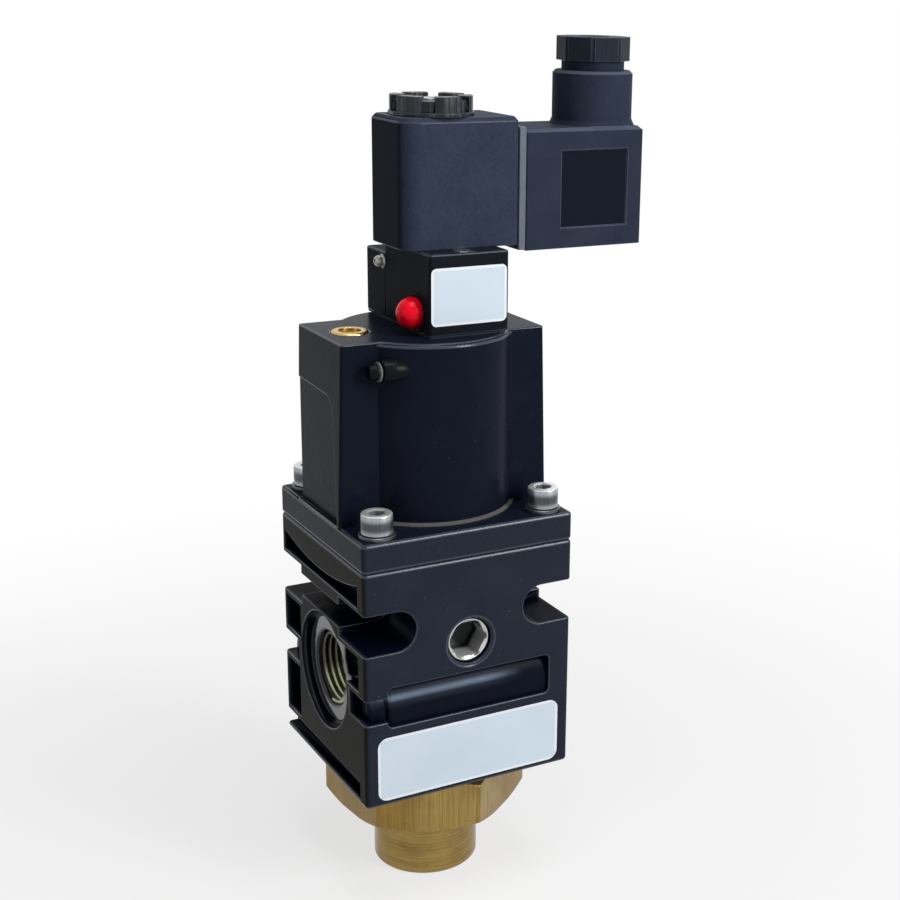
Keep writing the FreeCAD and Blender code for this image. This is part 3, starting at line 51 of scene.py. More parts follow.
class Value:
    """One output in a node tree; arithmetic on it adds Math nodes."""

    def __init__(self, net, socket):
        self.net = net
        self.socket = socket

    def maths(self, operation, *values):
        return self.net.add("ShaderNodeMath", {"operation": operation}, list(values))

    def __add__(self, other):
        return self.maths("ADD", self, other)

    def __radd__(self, other):
        return self.maths("ADD", other, self)

    def __sub__(self, other):
        return self.maths("SUBTRACT", self, other)

    def __rsub__(self, other):
        return self.maths("SUBTRACT", other, self)

    def __mul__(self, other):
        return self.maths("MULTIPLY", self, other)

    def size(self):
        return self.maths("ABSOLUTE", self)

    def larger(self, other):
        return self.maths("MAXIMUM", self, other)

    def ease(self, low, high):
        """0 below low, 1 above high, smooth between."""
        settings = {"interpolation_type": "SMOOTHSTEP"}
        return self.net.add("ShaderNodeMapRange", settings, {0: self, 1: low, 2: high, 3: 0.0, 4: 1.0})


class Net:
    """A node tree under construction: shader nodes or geometry nodes."""

    def __init__(self, tree, family):
        self.tree = tree
        self.family = family

    def add(self, kind, settings=None, inputs=(), output=0):
        node = self.tree.nodes.new(kind if "Node" in kind else self.family + kind)
        for name, value in (settings or {}).items():
            setattr(node, name, value)
        pairs = inputs.items() if isinstance(inputs, dict) else enumerate(inputs)
        for place, value in pairs:
            if isinstance(value, Value):
                self.tree.links.new(value.socket, node.inputs[place])
            else:
                node.inputs[place].default_value = value
        return Value(self, node.outputs[output])


class Finish(Net):
    """A material round one Principled shader; constants go straight on its sockets."""

    def __init__(self, name, constants):
        self.material = bpy.data.materials.new(name)
        self.material.use_nodes = True
        super().__init__(self.material.node_tree, "ShaderNode")
        self.shader = self.tree.nodes["Principled BSDF"]
        for socket, value in constants.items():
            self.shader.inputs[socket].default_value = value
        self.place = self.add("TexCoord", output=3)

    def along(self, axis):
        """One object coordinate, in metres: 0, 1 or 2 for X, Y or Z."""
        return self.add("SeparateXYZ", {}, [self.place], output=axis)

    def stretched(self, scale):
        """Object coordinates scaled per axis, for grain that runs one way."""
        return self.add("Mapping", {}, {0: self.place, 3: scale})

    def away(self, axes, point):
        """Distance in metres from a point, along the axes whose scale is 1."""
        inputs = [self.stretched(axes), point]
        return self.add("VectorMath", {"operation": "DISTANCE"}, inputs, output=1)

    def noise(self, scale, detail=2.0, roughness=0.5, place=None):
        inputs = {0: place or self.place, 2: scale, 3: detail, 4: roughness}
        return self.add("TexNoise", {"normalize": True}, inputs)

    def mix(self, factor, first, second):
        """Colours blended by a factor."""
        inputs = {0: factor, 6: first, 7: second}
        return self.add("Mix", {"data_type": "RGBA"}, inputs, output=2)

    def feed(self, socket, value):
        self.tree.links.new(value.socket, self.shader.inputs[socket])

    def bump(self, height, strength, distance):
        self.feed("Normal", self.add("Bump", {}, {0: strength, 1: distance, 3: height}))


def paint(r, g, b):
    return (r, g, b, 1.0)


def dress(node, finish):
    """Gives a CAD node its material."""
    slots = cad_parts[node].data.materials
    slots.clear()
    slots.append(finish.material)


def add_object(name, mesh, finish):
    """A new object in the scene, with its mesh in one finish."""
    mesh.materials.clear()
    mesh.materials.append(finish.material)
    piece = bpy.data.objects.new(name, mesh)
    bpy.context.scene.collection.objects.link(piece)
    return piece


def enrolled(piece, body, stands_for=()):
    """Hides the CAD nodes the piece stands for and hangs the piece on its body's empty."""
    if stands_for:
        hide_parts(*stands_for)
    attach(piece, body)
    return piece


def baked(piece):
    """The piece as a plain mesh, with its modifiers worked in and removed."""
    graph = bpy.context.evaluated_depsgraph_get()
    mesh = bpy.data.meshes.new_from_object(piece.evaluated_get(graph))
    mesh.name = piece.name
    piece.modifiers.clear()
    piece.data = mesh
    return piece


def eased(node, name, finish, edge, body="valve", steps=2, rim=None, least=30):
    """A copy of a CAD node whose outer edges are softly rounded and may have their own finish."""
    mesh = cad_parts[node].data.copy()
    work = bmesh.new()
    work.from_mesh(mesh)
    bmesh.ops.remove_doubles(work, verts=work.verts, dist=2e-6)
    bmesh.ops.dissolve_degenerate(work, edges=work.edges, dist=2e-6)
    bmesh.ops.dissolve_limit(work, angle_limit=math.radians(0.5), verts=work.verts, edges=work.edges)
    flats = [face for face in work.faces if len(face.verts) > 4]
    bmesh.ops.triangulate(work, faces=flats, ngon_method="BEAUTY")
    weight = work.edges.layers.float.new("bevel_weight_edge")
    for face in work.faces:
        face.smooth = True
    for line in work.edges:
        if len(line.link_faces) == 2:
            turn = math.degrees(line.calc_face_angle_signed())
            line[weight] = 1.0 if turn > least else 0.0
            line.smooth = turn > least or abs(turn) < 28
    work.to_mesh(mesh)
    work.free()
    piece = add_object(name, mesh, finish)
    bevel = piece.modifiers.new("edges", "BEVEL")
    bevel.width = edge
    bevel.segments = steps
    bevel.limit_method = "WEIGHT"
    bevel.use_clamp_overlap = False
    bevel.loop_slide = False
    if rim:
        mesh.materials.append(rim.material)
        bevel.material = 1
    weighted = piece.modifiers.new("normals", "WEIGHTED_NORMAL")
    weighted.keep_sharp = True
    return enrolled(baked(piece), body, (node,))


brass = Finish("fitting brass", {"Metallic": 0.72})
upright = brass.noise(1.0, 3.0, 0.6, brass.stretched((2600.0, 2600.0, 45.0)))
ring_marks = brass.noise(1.0, 2.0, 0.5, brass.stretched((60.0, 60.0, 3400.0)))
on_hexagon = brass.along(2).ease(0.0198, 0.0203)
grain = upright * on_hexagon + ring_marks * (1.0 - on_hexagon)
patches = brass.noise(90.0, 4.0, 0.6).ease(0.35, 0.75)
pits = brass.noise(520.0, 3.0, 0.7).ease(0.66, 0.74)
tone = brass.mix(grain.ease(0.25, 0.75), paint(0.235, 0.150, 0.038), paint(0.430, 0.290, 0.088))
tone = brass.mix(patches * 0.45, tone, paint(0.125, 0.080, 0.028))
# The side flats of the hexagon are darkened and warmed as painted shade.
painted_side_shade = brass.along(0).size().ease(0.0110, 0.0170) * on_hexagon
tone = brass.mix(painted_side_shade * 0.50, tone, paint(0.215, 0.115, 0.010))
brass.feed("Base Color", brass.mix(pits * 0.6, tone, paint(0.045, 0.030, 0.014)))
brass.feed("Roughness", 0.15 + grain * 0.15 + patches * 0.08)
brass.bump(grain - pits * 0.8, 0.35, 0.00006)

eased("exhaust_fitting", "exhaust_fitting_turned", brass, 0.00035, steps=3)

THREAD_TURN = math.pi / 2
PIPE_THREAD = {"Root radius": 0.01050, "Depth": 0.00118, "Pitch": 0.001814}


def thread_tree():
    """Geometry nodes: a helical ridge of a pipe thread round the Z axis."""
    tree = bpy.data.node_groups.new("pipe thread", "GeometryNodeTree")
    for name, default in {**PIPE_THREAD, "Turns": 6.0}.items():
        socket = tree.interface.new_socket(name, in_out="INPUT", socket_type="NodeSocketFloat")
        socket.default_value = default
    tree.interface.new_socket("Material", in_out="INPUT", socket_type="NodeSocketMaterial")
    tree.interface.new_socket("Geometry", in_out="OUTPUT", socket_type="NodeSocketGeometry")
    net = Net(tree, "")
    given = tree.nodes.new("NodeGroupInput")
    root, depth, pitch, turns, material = [Value(net, given.outputs[i]) for i in range(5)]
    centre = root - depth * 0.5
    path = net.add("GeometryNodeCurveSpiral", {}, {0: 72, 1: turns, 2: centre, 3: centre, 4: pitch * turns})
    path = net.add("GeometryNodeSetCurveNormal", {"mode": "Z_UP"}, {0: path})
    ridge = net.add("GeometryNodeCurvePrimitiveQuadrilateral", {"mode": "TRAPEZOID"},
                    {"Bottom Width": pitch * 0.94, "Top Width": pitch * 0.18, "Offset": 0.0, "Height": depth})
    turned = net.add("GeometryNodeTransform", {}, {"Geometry": ridge, "Rotation": (0.0, 0.0, THREAD_TURN)})
    body = net.add("GeometryNodeCurveToMesh", {}, {"Curve": path, "Profile Curve": turned, "Fill Caps": True})
    body = net.add("GeometryNodeRealizeInstances", {}, {0: body})
    body = net.add("GeometryNodeSetMaterial", {}, {"Geometry": body, "Material": material})
    leave = tree.nodes.new("NodeGroupOutput")
    tree.links.new(body.socket, leave.inputs[0])
    return tree


def grown(name, tree, values, finish, place, stands_for=()):
    """Runs a geometry node tree on an empty mesh and keeps its result as a placed mesh."""
    piece = add_object(name, bpy.data.meshes.new(name), finish)
    modifier = piece.modifiers.new("build", "NODES")
    modifier.node_group = tree
    for item in tree.interface.items_tree:
        if item.in_out == "INPUT" and item.name in values:
            modifier[item.identifier] = values[item.name]
    baked(piece)
    piece.data.transform(place)
    if place.determinant() < 0:
        piece.data.flip_normals()
    return enrolled(piece, "valve", stands_for)


thread = thread_tree()
grown("exhaust_thread", thread, {**PIPE_THREAD, "Turns": 7.4, "Material": brass.material}, brass,
      Matrix.Translation((0, 0, 0.0009)))


# Valve body: a zinc die casting with machined slots and ports, coated in black semi-gloss
# paint that is slightly uneven over the cast skin. Its rounded edges are paler, partly thin paint
# and partly painted highlight; its recesses are painted dark as shade, and its side faces carry
# a painted warm light.

def coated(name, deep, bright, roughness, grain_size, gloss=0.02):
    """Black paint on a casting, with orange peel, clouds and specks. Gives the finish and its tone."""
    finish = Finish(name, {"Specular IOR Level": gloss, "Coat Roughness": 0.10, "Coat IOR": 1.7})
    peel = finish.noise(grain_size, 3.0, 0.55)
    cloud = finish.noise(70.0, 3.0, 0.6)
    specks = finish.noise(1500.0, 1.0, 0.5).ease(0.77, 0.80)
    grain = finish.noise(2600.0, 2.0, 0.6)
    tone = finish.mix(cloud * 0.55 + grain * 0.45, deep, bright)
    tone = finish.mix(specks * 0.5, tone, paint(0.12, 0.125, 0.14))
    finish.feed("Base Color", tone)
    finish.feed("Roughness", roughness + cloud * 0.10 + specks * 0.2)
    finish.bump(peel, 0.30, 0.00012)
    return finish, tone


PORT_HEIGHT = 0.0645
cast_paint, skin = coated("cast body paint", paint(0.0095, 0.0120, 0.0205), paint(0.0290, 0.0340, 0.0500),
                          0.27, 900.0, 0.015)
across = cast_paint.along(0).size()
# Inside the recesses and windows the paint is darkened as painted shade.
painted_shade_recess = (1.0 - across.ease(0.0298, 0.0302)) * (1.0 - cast_paint.along(1).size().ease(0.0284, 0.0288))
beside_axis = cast_paint.away((0.0, 1.0, 1.0), (0.0, 0.0, PORT_HEIGHT))
on_barrel = (1.0 - beside_axis.ease(0.0178, 0.0182)) * painted_shade_recess
# The outer side faces get a warmer, browner tone: painted warm light.
skin = cast_paint.mix(across.ease(0.0302, 0.0305), skin, paint(0.0180, 0.0168, 0.0155))
cast_paint.feed("Base Color", cast_paint.mix(painted_shade_recess, skin, paint(0.0022, 0.0040, 0.0110)))
cast_paint.feed("Coat Weight", on_barrel)
# Rounded edges get a paler, glossier paint: partly thin paint, partly painted highlight.
edge_wear_and_highlight = coated("paint on edges", paint(0.018, 0.024, 0.040), paint(0.038, 0.048, 0.070),
                     0.20, 700.0, 0.30)[0]
eased("valve_body", "valve_body_casting", cast_paint, 0.00035, steps=3, rim=edge_wear_and_highlight)

port_metal = Finish("machined port", {"Metallic": 1.0})
swirl = port_metal.noise(1.0, 2.0, 0.5, port_metal.stretched((3600.0, 140.0, 140.0)))
# The thread is bright on its lower part and dark above it: painted light and shade, set by height.
low = 1.0 - port_metal.along(2).ease(0.0570, 0.0625)
upper = port_metal.mix(swirl, paint(0.020, 0.020, 0.016), paint(0.130, 0.125, 0.095))
lower = port_metal.mix(swirl, paint(0.110, 0.110, 0.060), paint(0.520, 0.520, 0.330))
port_metal.feed("Base Color", port_metal.mix(low, upper, lower))
port_metal.feed("Roughness", 0.22 + swirl * 0.22)
port_metal.bump(swirl, 0.3, 0.00004)

left_port = Matrix.Translation((-0.0278, 0, PORT_HEIGHT)) @ Matrix.Rotation(math.pi / 2, 4, "Y")
right_port = Matrix.Scale(-1, 4, (1, 0, 0)) @ left_port
for name, place in (("inlet_thread", left_port), ("outlet_thread", right_port)):
    grown(name, thread, {**PIPE_THREAD, "Turns": 5.2, "Material": port_metal.material}, port_metal, place)


def label_finish(name, across, rise, half_width, half_height):
    """Bare printed film, bluish grey inside a paler margin, centred on a point of the face."""
    film = Finish(name, {"Specular IOR Level": 0.45})
    fibre = film.noise(700.0, 2.0, 0.5)
    age = film.noise(45.0, 3.0, 0.6).ease(0.3, 0.8)
    beside = ((film.along(0) - across).size() - half_width).ease(-0.0008, -0.0006)
    above = ((film.along(2) - rise).size() - half_height).ease(-0.0008, -0.0006)
    inner = film.mix(age, paint(0.56, 0.65, 0.73), paint(0.52, 0.61, 0.69))
    film.feed("Base Color", film.mix(beside.larger(above), inner, paint(0.72, 0.77, 0.80)))
    film.feed("Roughness", 0.42 + fibre * 0.14)
    film.bump(fibre, 0.08, 0.00002)
    return film


def label(name, x0, x1, z0, z1, y, corner):
    """A thin bare label with round corners on a face that looks towards -Y."""
    thickness = 0.00010
    work = bmesh.new()
    outline = []
    for cx, cz, start in ((x1 - corner, z1 - corner, 0), (x0 + corner, z1 - corner, 90),
                          (x0 + corner, z0 + corner, 180), (x1 - corner, z0 + corner, 270)):
        for i in range(9):
            angle = math.radians(start + 90 * i / 8)
            outline.append((cx + corner * math.cos(angle), cz + corner * math.sin(angle)))
    rim = [work.verts.new((x, y, z)) for x, z in outline]
    face = [work.verts.new((x, y - thickness, z)) for x, z in outline]
    work.faces.new(rim)
    work.faces.new(list(reversed(face)))
    for i in range(len(rim)):
        j = (i + 1) % len(rim)
        work.faces.new((rim[j], rim[i], face[i], face[j]))
    bmesh.ops.recalc_face_normals(work, faces=work.faces)
    mesh = bpy.data.meshes.new(name)
    work.to_mesh(mesh)
    work.free()
    film = label_finish(name.replace("_", " ") + " film", (x0 + x1) / 2, (z0 + z1) / 2,
                        (x1 - x0) / 2, (z1 - z0) / 2)
    enrolled(add_object(name, mesh, film), "valve")


label("body_label", -0.0276, 0.0274, 0.0366, 0.0550, -0.0292, 0.0028)


# Gauge port plugs: nickel-plated socket plugs, turned, with a hexagon recess broached in the
# face, screwed in below the surface of the front and the rear.

def ring_stack(name, finish, rings, place, sides=48, body="valve", stands_for=()):
    """A closed turned form from (height, radius, flats) rings; six flats make that ring a hexagon."""
    work = bmesh.new()
    loops = []
    for level, radius, flats in rings:
        loop = []
        for i in range(sides):
            angle = 2 * math.pi * i / sides
            reach = radius
            if flats:
                part = (angle % (2 * math.pi / flats)) - math.pi / flats
                reach = radius / math.cos(part)
            loop.append(work.verts.new((reach * math.cos(angle), reach * math.sin(angle), level)))
        loops.append(loop)
    for low, high in zip(loops, loops[1:]):
        for i in range(sides):
            j = (i + 1) % sides
            work.faces.new((low[i], low[j], high[j], high[i]))
    work.faces.new(list(reversed(loops[0])))
    work.faces.new(loops[-1])
    bmesh.ops.recalc_face_normals(work, faces=work.faces)
    for face in work.faces:
        face.smooth = True
    mesh = bpy.data.meshes.new(name)
    work.to_mesh(mesh)
    work.free()
    mesh.set_sharp_from_angle(angle=math.radians(34))
    mesh.transform(place)
    return enrolled(add_object(name, mesh, finish), body, stands_for)


GAUGE_HEIGHT = 0.0778
nickel = Finish("nickel plate", {"Metallic": 0.45})
marks = nickel.noise(1.0, 3.0, 0.5, nickel.stretched((1800.0, 160.0, 1800.0)))
plated = nickel.mix(marks, paint(0.46, 0.47, 0.46), paint(0.78, 0.78, 0.76))
# The depth of each socket and its upper side are painted dark as shade; the lower side keeps the plated tone
# as painted light.
painted_depth_shade = 1.0 - nickel.along(1).size().ease(0.0206, 0.0226)
painted_lit_side = (nickel.along(0) * 0.7 - nickel.along(2) + GAUGE_HEIGHT).ease(-0.0010, 0.0022)
in_socket = 1.0 - nickel.along(1).size().ease(0.0271, 0.0274)
plated = nickel.mix(in_socket * (1.0 - painted_lit_side) * 0.85, plated, paint(0.030, 0.032, 0.034))
nickel.feed("Base Color", nickel.mix(painted_depth_shade, plated, paint(0.012, 0.014, 0.018)))
nickel.feed("Roughness", 0.16 + marks * 0.14)
nickel.bump(marks, 0.2, 0.00004)

plug_rings = [(-0.0088, 0.00600, 0), (-0.0086, 0.00642, 0), (-0.0007, 0.00642, 0), (-0.0002, 0.00600, 0),
              (0.0, 0.00590, 0), (0.0, 0.00565, 0), (-0.0005, 0.00495, 6), (-0.0078, 0.00485, 6),
              (-0.0082, 0.00200, 6)]
front_plug = Matrix.Translation((0, -0.0276, GAUGE_HEIGHT)) @ Matrix.Rotation(math.pi / 2, 4, "X")
rear_plug = Matrix.Rotation(math.pi, 4, "Z") @ front_plug
for name, place in (("front_gauge_plug", front_plug), ("rear_gauge_plug", rear_plug)):
    ring_stack(name, nickel, plug_rings, place, 96, stands_for=("gauge_port_plugs",))


# Flow barrels: the cast wall round the flow passage, as it swells out behind the front and rear
# windows of the body nearly as far as the face. The shine along the upper side is a painted
# highlight.

SHINE_HEIGHT = 0.0652
barrel_paint = Finish("rubbed barrel paint", {"Specular IOR Level": 0.03})
beside_ridge = (barrel_paint.along(2) - SHINE_HEIGHT).size()
fades = 1.0 - barrel_paint.along(0).ease(0.004, 0.018)
narrow, wide = [1.0 - beside_ridge.ease(0.0, reach) for reach in (0.0013, 0.0032)]
rubbed = barrel_paint.noise(300.0, 3.0, 0.6)
shine = (narrow * 0.80 + wide * 0.16) * fades * (0.75 + rubbed * 0.5)
tone = barrel_paint.mix(shine, paint(0.0040, 0.0058, 0.0130), paint(0.150, 0.195, 0.265))
barrel_paint.feed("Base Color", tone)
barrel_paint.feed("Roughness", 0.28 + rubbed * 0.10)
barrel_paint.bump(rubbed, 0.2, 0.0001)
barrel_rings = [(-0.0286, 0.0048, 0), (-0.0282, 0.0054, 0), (-0.0240, 0.0056, 0), (-0.0236, 0.0078, 0),
                (-0.0228, 0.0085, 0), (0.0243, 0.0085, 0)]
flattened = Matrix.Diagonal((1, 0.50, 1, 1)) @ Matrix.Rotation(math.pi / 2, 4, "Y")
for name, deep in (("front_flow_barrel", -0.0238), ("rear_flow_barrel", 0.0238)):
    ring_stack(name, barrel_paint, barrel_rings, Matrix.Translation((0, deep, 0.0603)) @ flattened, 96)


# Bonnet: the die-cast cover over the piston, with a wing each side, painted with the body. Its
# flange is paler, a painted highlight runs round the cylinder's foot, and the left wing has two dark spots.

BONNET_FOOT = 0.1105
bonnet_paint, skin = coated("bonnet paint", paint(0.0022, 0.0036, 0.0090), paint(0.0100, 0.0130, 0.0245),
                            0.22, 800.0, 0.025)
on_flange = 1.0 - bonnet_paint.along(2).ease(0.1096, 0.1099)
flange_grain = bonnet_paint.noise(2200.0, 3.0, 0.6)
flange_skin = bonnet_paint.mix(flange_grain, paint(0.0100, 0.0130, 0.0210), paint(0.0270, 0.0320, 0.0470))
skin = bonnet_paint.mix(on_flange, skin, flange_skin)
on_left_wing = (0.0 - bonnet_paint.along(0)).ease(0.0200, 0.0205)
for middle in ((0.0, -0.0010, 0.1195), (0.0, -0.0042, 0.1180)):
    spot = (1.0 - bonnet_paint.away((0.0, 1.0, 1.0), middle).ease(0.0013, 0.0017)) * on_left_wing
    skin = bonnet_paint.mix(spot, skin, paint(0.0008, 0.0010, 0.0020))
# A painted highlight along the cylinder's foot.
near_foot = 1.0 - (bonnet_paint.along(2) - BONNET_FOOT).size().ease(0.0003, 0.0005)
painted_foot_highlight = near_foot * (1.0 - bonnet_paint.away((1.0, 1.0, 0.0), (0.0, 0.0, 0.0)).ease(0.0250, 0.0252))
bonnet_paint.feed("Base Color", bonnet_paint.mix(painted_foot_highlight * 0.4, skin, paint(0.200, 0.190, 0.160)))
eased("bonnet", "bonnet_casting", bonnet_paint, 0.00040, steps=3, rim=edge_wear_and_highlight)


# Vent nozzle: cast with the bonnet in its inner corner, darker than the rest, with a painted
# highlight ring at its collar and a small bore in its tip.

nozzle_paint, skin = coated("nozzle paint", paint(0.0016, 0.0020, 0.0030), paint(0.0080, 0.0090, 0.0105),
                            0.20, 800.0, 0.05)
# The pale ring at the collar is a painted highlight.
collar_highlight = 1.0 - (nozzle_paint.along(0) + 0.0209).size().ease(0.0002, 0.0004)
nozzle_paint.feed("Base Color", nozzle_paint.mix(collar_highlight * 0.6, skin, paint(0.260, 0.270, 0.270)))
nozzle_rings = [(-0.0090, 0.0016, 0), (-0.0080, 0.0024, 0), (-0.0060, 0.0029, 0), (-0.0040, 0.0030, 0),
                (-0.0004, 0.0030, 0), (0.0000, 0.00275, 0), (0.0002, 0.0022, 0), (0.0006, 0.0022, 0),
                (0.0007, 0.0026, 0), (0.0010, 0.0026, 0), (0.0011, 0.00215, 0), (0.0027, 0.00215, 0),
                (0.0035, 0.0018, 0), (0.0037, 0.0013, 0), (0.0037, 0.0010, 0), (0.0015, 0.0009, 0)]
TO_THE_LEFT = Matrix.Rotation(-math.pi / 2, 4, "Y")
ring_stack("vent_nozzle", nozzle_paint, nozzle_rings,
           Matrix.Translation((-0.0200, -0.0172, 0.1520)) @ TO_THE_LEFT, 40)


# Bonnet screws: four zinc-plated socket head screws on plain washers, set by a rule at the
# corners of the flange. Fine knurling runs round the heads.

SCREW_ACROSS = 0.0492
SCREW_DEEP = 0.0472
FLANGE_TOP = 0.110


def four_corner_tree():
    """Geometry nodes: one object repeated at the four corners of a rectangle."""
    tree = bpy.data.node_groups.new("four corners", "GeometryNodeTree")
    for name, default in (("Across", SCREW_ACROSS), ("Deep", SCREW_DEEP), ("Level", FLANGE_TOP)):
        socket = tree.interface.new_socket(name, in_out="INPUT", socket_type="NodeSocketFloat")
        socket.default_value = default
    tree.interface.new_socket("Screw", in_out="INPUT", socket_type="NodeSocketObject")
    tree.interface.new_socket("Material", in_out="INPUT", socket_type="NodeSocketMaterial")
    tree.interface.new_socket("Geometry", in_out="OUTPUT", socket_type="NodeSocketGeometry")
    net = Net(tree, "")
    given = tree.nodes.new("NodeGroupInput")
    across, deep, level, screw, material = [Value(net, given.outputs[i]) for i in range(5)]
    corners = net.add("GeometryNodeMeshGrid", {}, {0: across, 1: deep, 2: 2, 3: 2})
    shape = net.add("GeometryNodeObjectInfo", {}, {"Object": screw}, output="Geometry")
    lift = net.add("ShaderNodeCombineXYZ", {}, {2: level})
    corners = net.add("GeometryNodeTransform", {}, {"Geometry": corners, "Translation": lift})
    turn = net.add("FunctionNodeRandomValue", {"data_type": "FLOAT"}, {"Min": 0.0, "Max": 6.28, "Seed": 4},
                   output=1)
    spin = net.add("ShaderNodeCombineXYZ", {}, {2: turn})
    group = net.add("GeometryNodeInstanceOnPoints", {},
                    {"Points": corners, "Instance": shape, "Rotation": spin})
    group = net.add("GeometryNodeRealizeInstances", {}, {0: group})
    group = net.add("GeometryNodeSetMaterial", {}, {"Geometry": group, "Material": material})
    leave = tree.nodes.new("NodeGroupOutput")
    tree.links.new(group.socket, leave.inputs[0])
    return tree


screw_zinc = Finish("screw zinc", {"Metallic": 0.7})
knurl = screw_zinc.noise(1.0, 2.0, 0.6, screw_zinc.stretched((2400.0, 2400.0, 200.0)))
# The bright head tops are painted light; the dark band round the heads and the darker washers are painted
# shade.
painted_lit_top = screw_zinc.along(2).ease(0.11625, 0.11650)
painted_shade_band = (screw_zinc.along(2) - 0.1136).size().ease(0.0006, 0.0022)
side = screw_zinc.mix(painted_shade_band * 0.7 + knurl * 0.2, paint(0.024, 0.032, 0.042), paint(0.420, 0.445, 0.465))
side = screw_zinc.mix(screw_zinc.along(2).ease(0.1111, 0.1113), paint(0.090, 0.096, 0.105), side)
screw_zinc.feed("Base Color", screw_zinc.mix(painted_lit_top, side, paint(0.76, 0.77, 0.76)))
screw_zinc.feed("Roughness", 0.24 + knurl * 0.16)
screw_zinc.bump(knurl, 0.2, 0.00003)

corner_tree = four_corner_tree()
screw_rings = [(-0.0150, 0.00210, 0), (-0.0145, 0.00250, 0), (0.0, 0.00250, 0), (0.0, 0.00395, 0),
               (0.0003, 0.00420, 0), (0.0051, 0.00420, 0), (0.0055, 0.00405, 0), (0.0057, 0.00370, 0),
               (0.0057, 0.00235, 6), (0.0055, 0.00203, 6), (0.0030, 0.00200, 6), (0.0027, 0.00110, 6)]
washer_rings = [(0.0, 0.00262, 0), (0.0, 0.00470, 0), (0.00015, 0.00488, 0), (0.00085, 0.00488, 0),
                (0.0010, 0.00470, 0), (0.0010, 0.00262, 0)]
WASHER_THICKNESS = 0.001


def repeat_at_corners(name, rings, level, stands_for):
    """One turned piece at each corner of the flange, as one mesh."""
    master = ring_stack(name + "_master", screw_zinc, rings, Matrix.Identity(4))
    values = {"Across": SCREW_ACROSS, "Deep": SCREW_DEEP, "Level": level, "Screw": master,
              "Material": screw_zinc.material}
    grown(name, corner_tree, values, screw_zinc, Matrix.Identity(4), (stands_for,))
    bpy.data.objects.remove(master)


repeat_at_corners("bonnet_cap_screws", screw_rings, FLANGE_TOP + WASHER_THICKNESS, "bonnet_screws")
repeat_at_corners("bonnet_plain_washers", washer_rings, FLANGE_TOP, "bonnet_washers")


# Needle bush and adjusting screw: brass insert pressed in the left wing, with the slotted
# screw that sets the soft start inside it.

bush_brass = Finish("turned brass", {"Metallic": 1.0})
turning = bush_brass.noise(1.0, 2.0, 0.5, bush_brass.stretched((900.0, 900.0, 2500.0)))
bush_brass.feed("Base Color", bush_brass.mix(turning, paint(0.42, 0.28, 0.085), paint(0.66, 0.48, 0.19)))
bush_brass.feed("Roughness", 0.20 + turning * 0.16)
bush_brass.bump(turning, 0.25, 0.00004)
eased("needle_bush", "needle_bush_turned", bush_brass, 0.00015)
eased("adjusting_screw", "adjusting_screw_turned", bush_brass, 0.00012, "adjusting_screw")


# Pilot valve: a moulded glass-filled nylon block with a separate end cover, bare label,
# red push button in a collar and a small bright passage plug.

def moulded(name, deep, bright, roughness, texture, gloss=0.012):
    """Black nylon, with pebble grain over soft flow marks. Gives the finish and its tone."""
    finish = Finish(name, {"Specular IOR Level": gloss})
    pebble = finish.noise(texture, 2.0, 0.6)
    flow = finish.noise(120.0, 4.0, 0.65)
    tone = finish.mix(flow * 0.5 + pebble * 0.5, deep, bright)
    finish.feed("Base Color", tone)
    finish.feed("Roughness", roughness + pebble * 0.14 + flow * 0.06)
    finish.bump(pebble * 0.7 + flow * 0.5, 0.45, 0.00014)
    return finish, tone


def squeeze(piece, scale, centre):
    """Scales a piece's mesh about a point."""
    shift = Matrix.Translation(centre)
    piece.data.transform(shift @ Matrix.Diagonal((*scale, 1.0)) @ shift.inverted())


BLOCK_LEFT = -0.0060
block_nylon = moulded("pilot block nylon", paint(0.0035, 0.0045, 0.0070), paint(0.0140, 0.0165, 0.0230),
                      0.36, 1900.0)[0]
# Rounded edges of the mouldings get a paler, glossier rim finish: partly polish, partly painted highlight.
rim_polish_and_highlight = moulded("polished nylon rim", paint(0.018, 0.024, 0.036), paint(0.042, 0.052, 0.074),
                       0.26, 1600.0, 0.16)[0]
for node in ("pilot_block", "pilot_end_cover"):
    eased(node, node + "_moulding", block_nylon, 0.00022, rim=rim_polish_and_highlight)
collar = eased("override_collar", "override_collar_moulding", block_nylon, 0.00010)
squeeze(collar, (0.35, 1.0, 1.0), (BLOCK_LEFT, 0.0, 0.0))


def dome(centre, reach, first, last, steps):
    """Rings of a ball on the turning axis, from one latitude to another."""
    angles = [math.radians(first + (last - first) * step / steps) for step in range(steps + 1)]
    return [(centre + reach * math.sin(angle), reach * math.cos(angle), 0) for angle in angles]


bright_plug = Finish("bright passage plug", {"Metallic": 0.2})
turned = bright_plug.noise(1.0, 2.0, 0.5, bright_plug.stretched((3000.0, 300.0, 300.0)))
bright_plug.feed("Base Color", bright_plug.mix(turned, paint(0.50, 0.51, 0.50), paint(0.66, 0.66, 0.64)))
bright_plug.feed("Roughness", 0.18 + turned * 0.14)
bright_plug.bump(turned, 0.05, 0.00002)
passage_rings = [(-0.0030, 0.00120, 0), (-0.0030, 0.00190, 0), (-0.0002, 0.00190, 0), (0.0, 0.00165, 0)]
passage_rings += dome(0.0006, 0.00160, -12, 62, 12)
passage_rings += [(0.0019, 0.00062, 6), (0.0008, 0.00060, 6), (0.0006, 0.00030, 6)]
ring_stack("passage_plug_turned", bright_plug, passage_rings,
           Matrix.Translation((-0.0058, 0.0140, 0.1747)) @ TO_THE_LEFT,
           stands_for=("passage_plug",))
label("pilot_label", -0.0057, 0.0163, 0.1622, 0.1774, -0.0170, 0.0015)

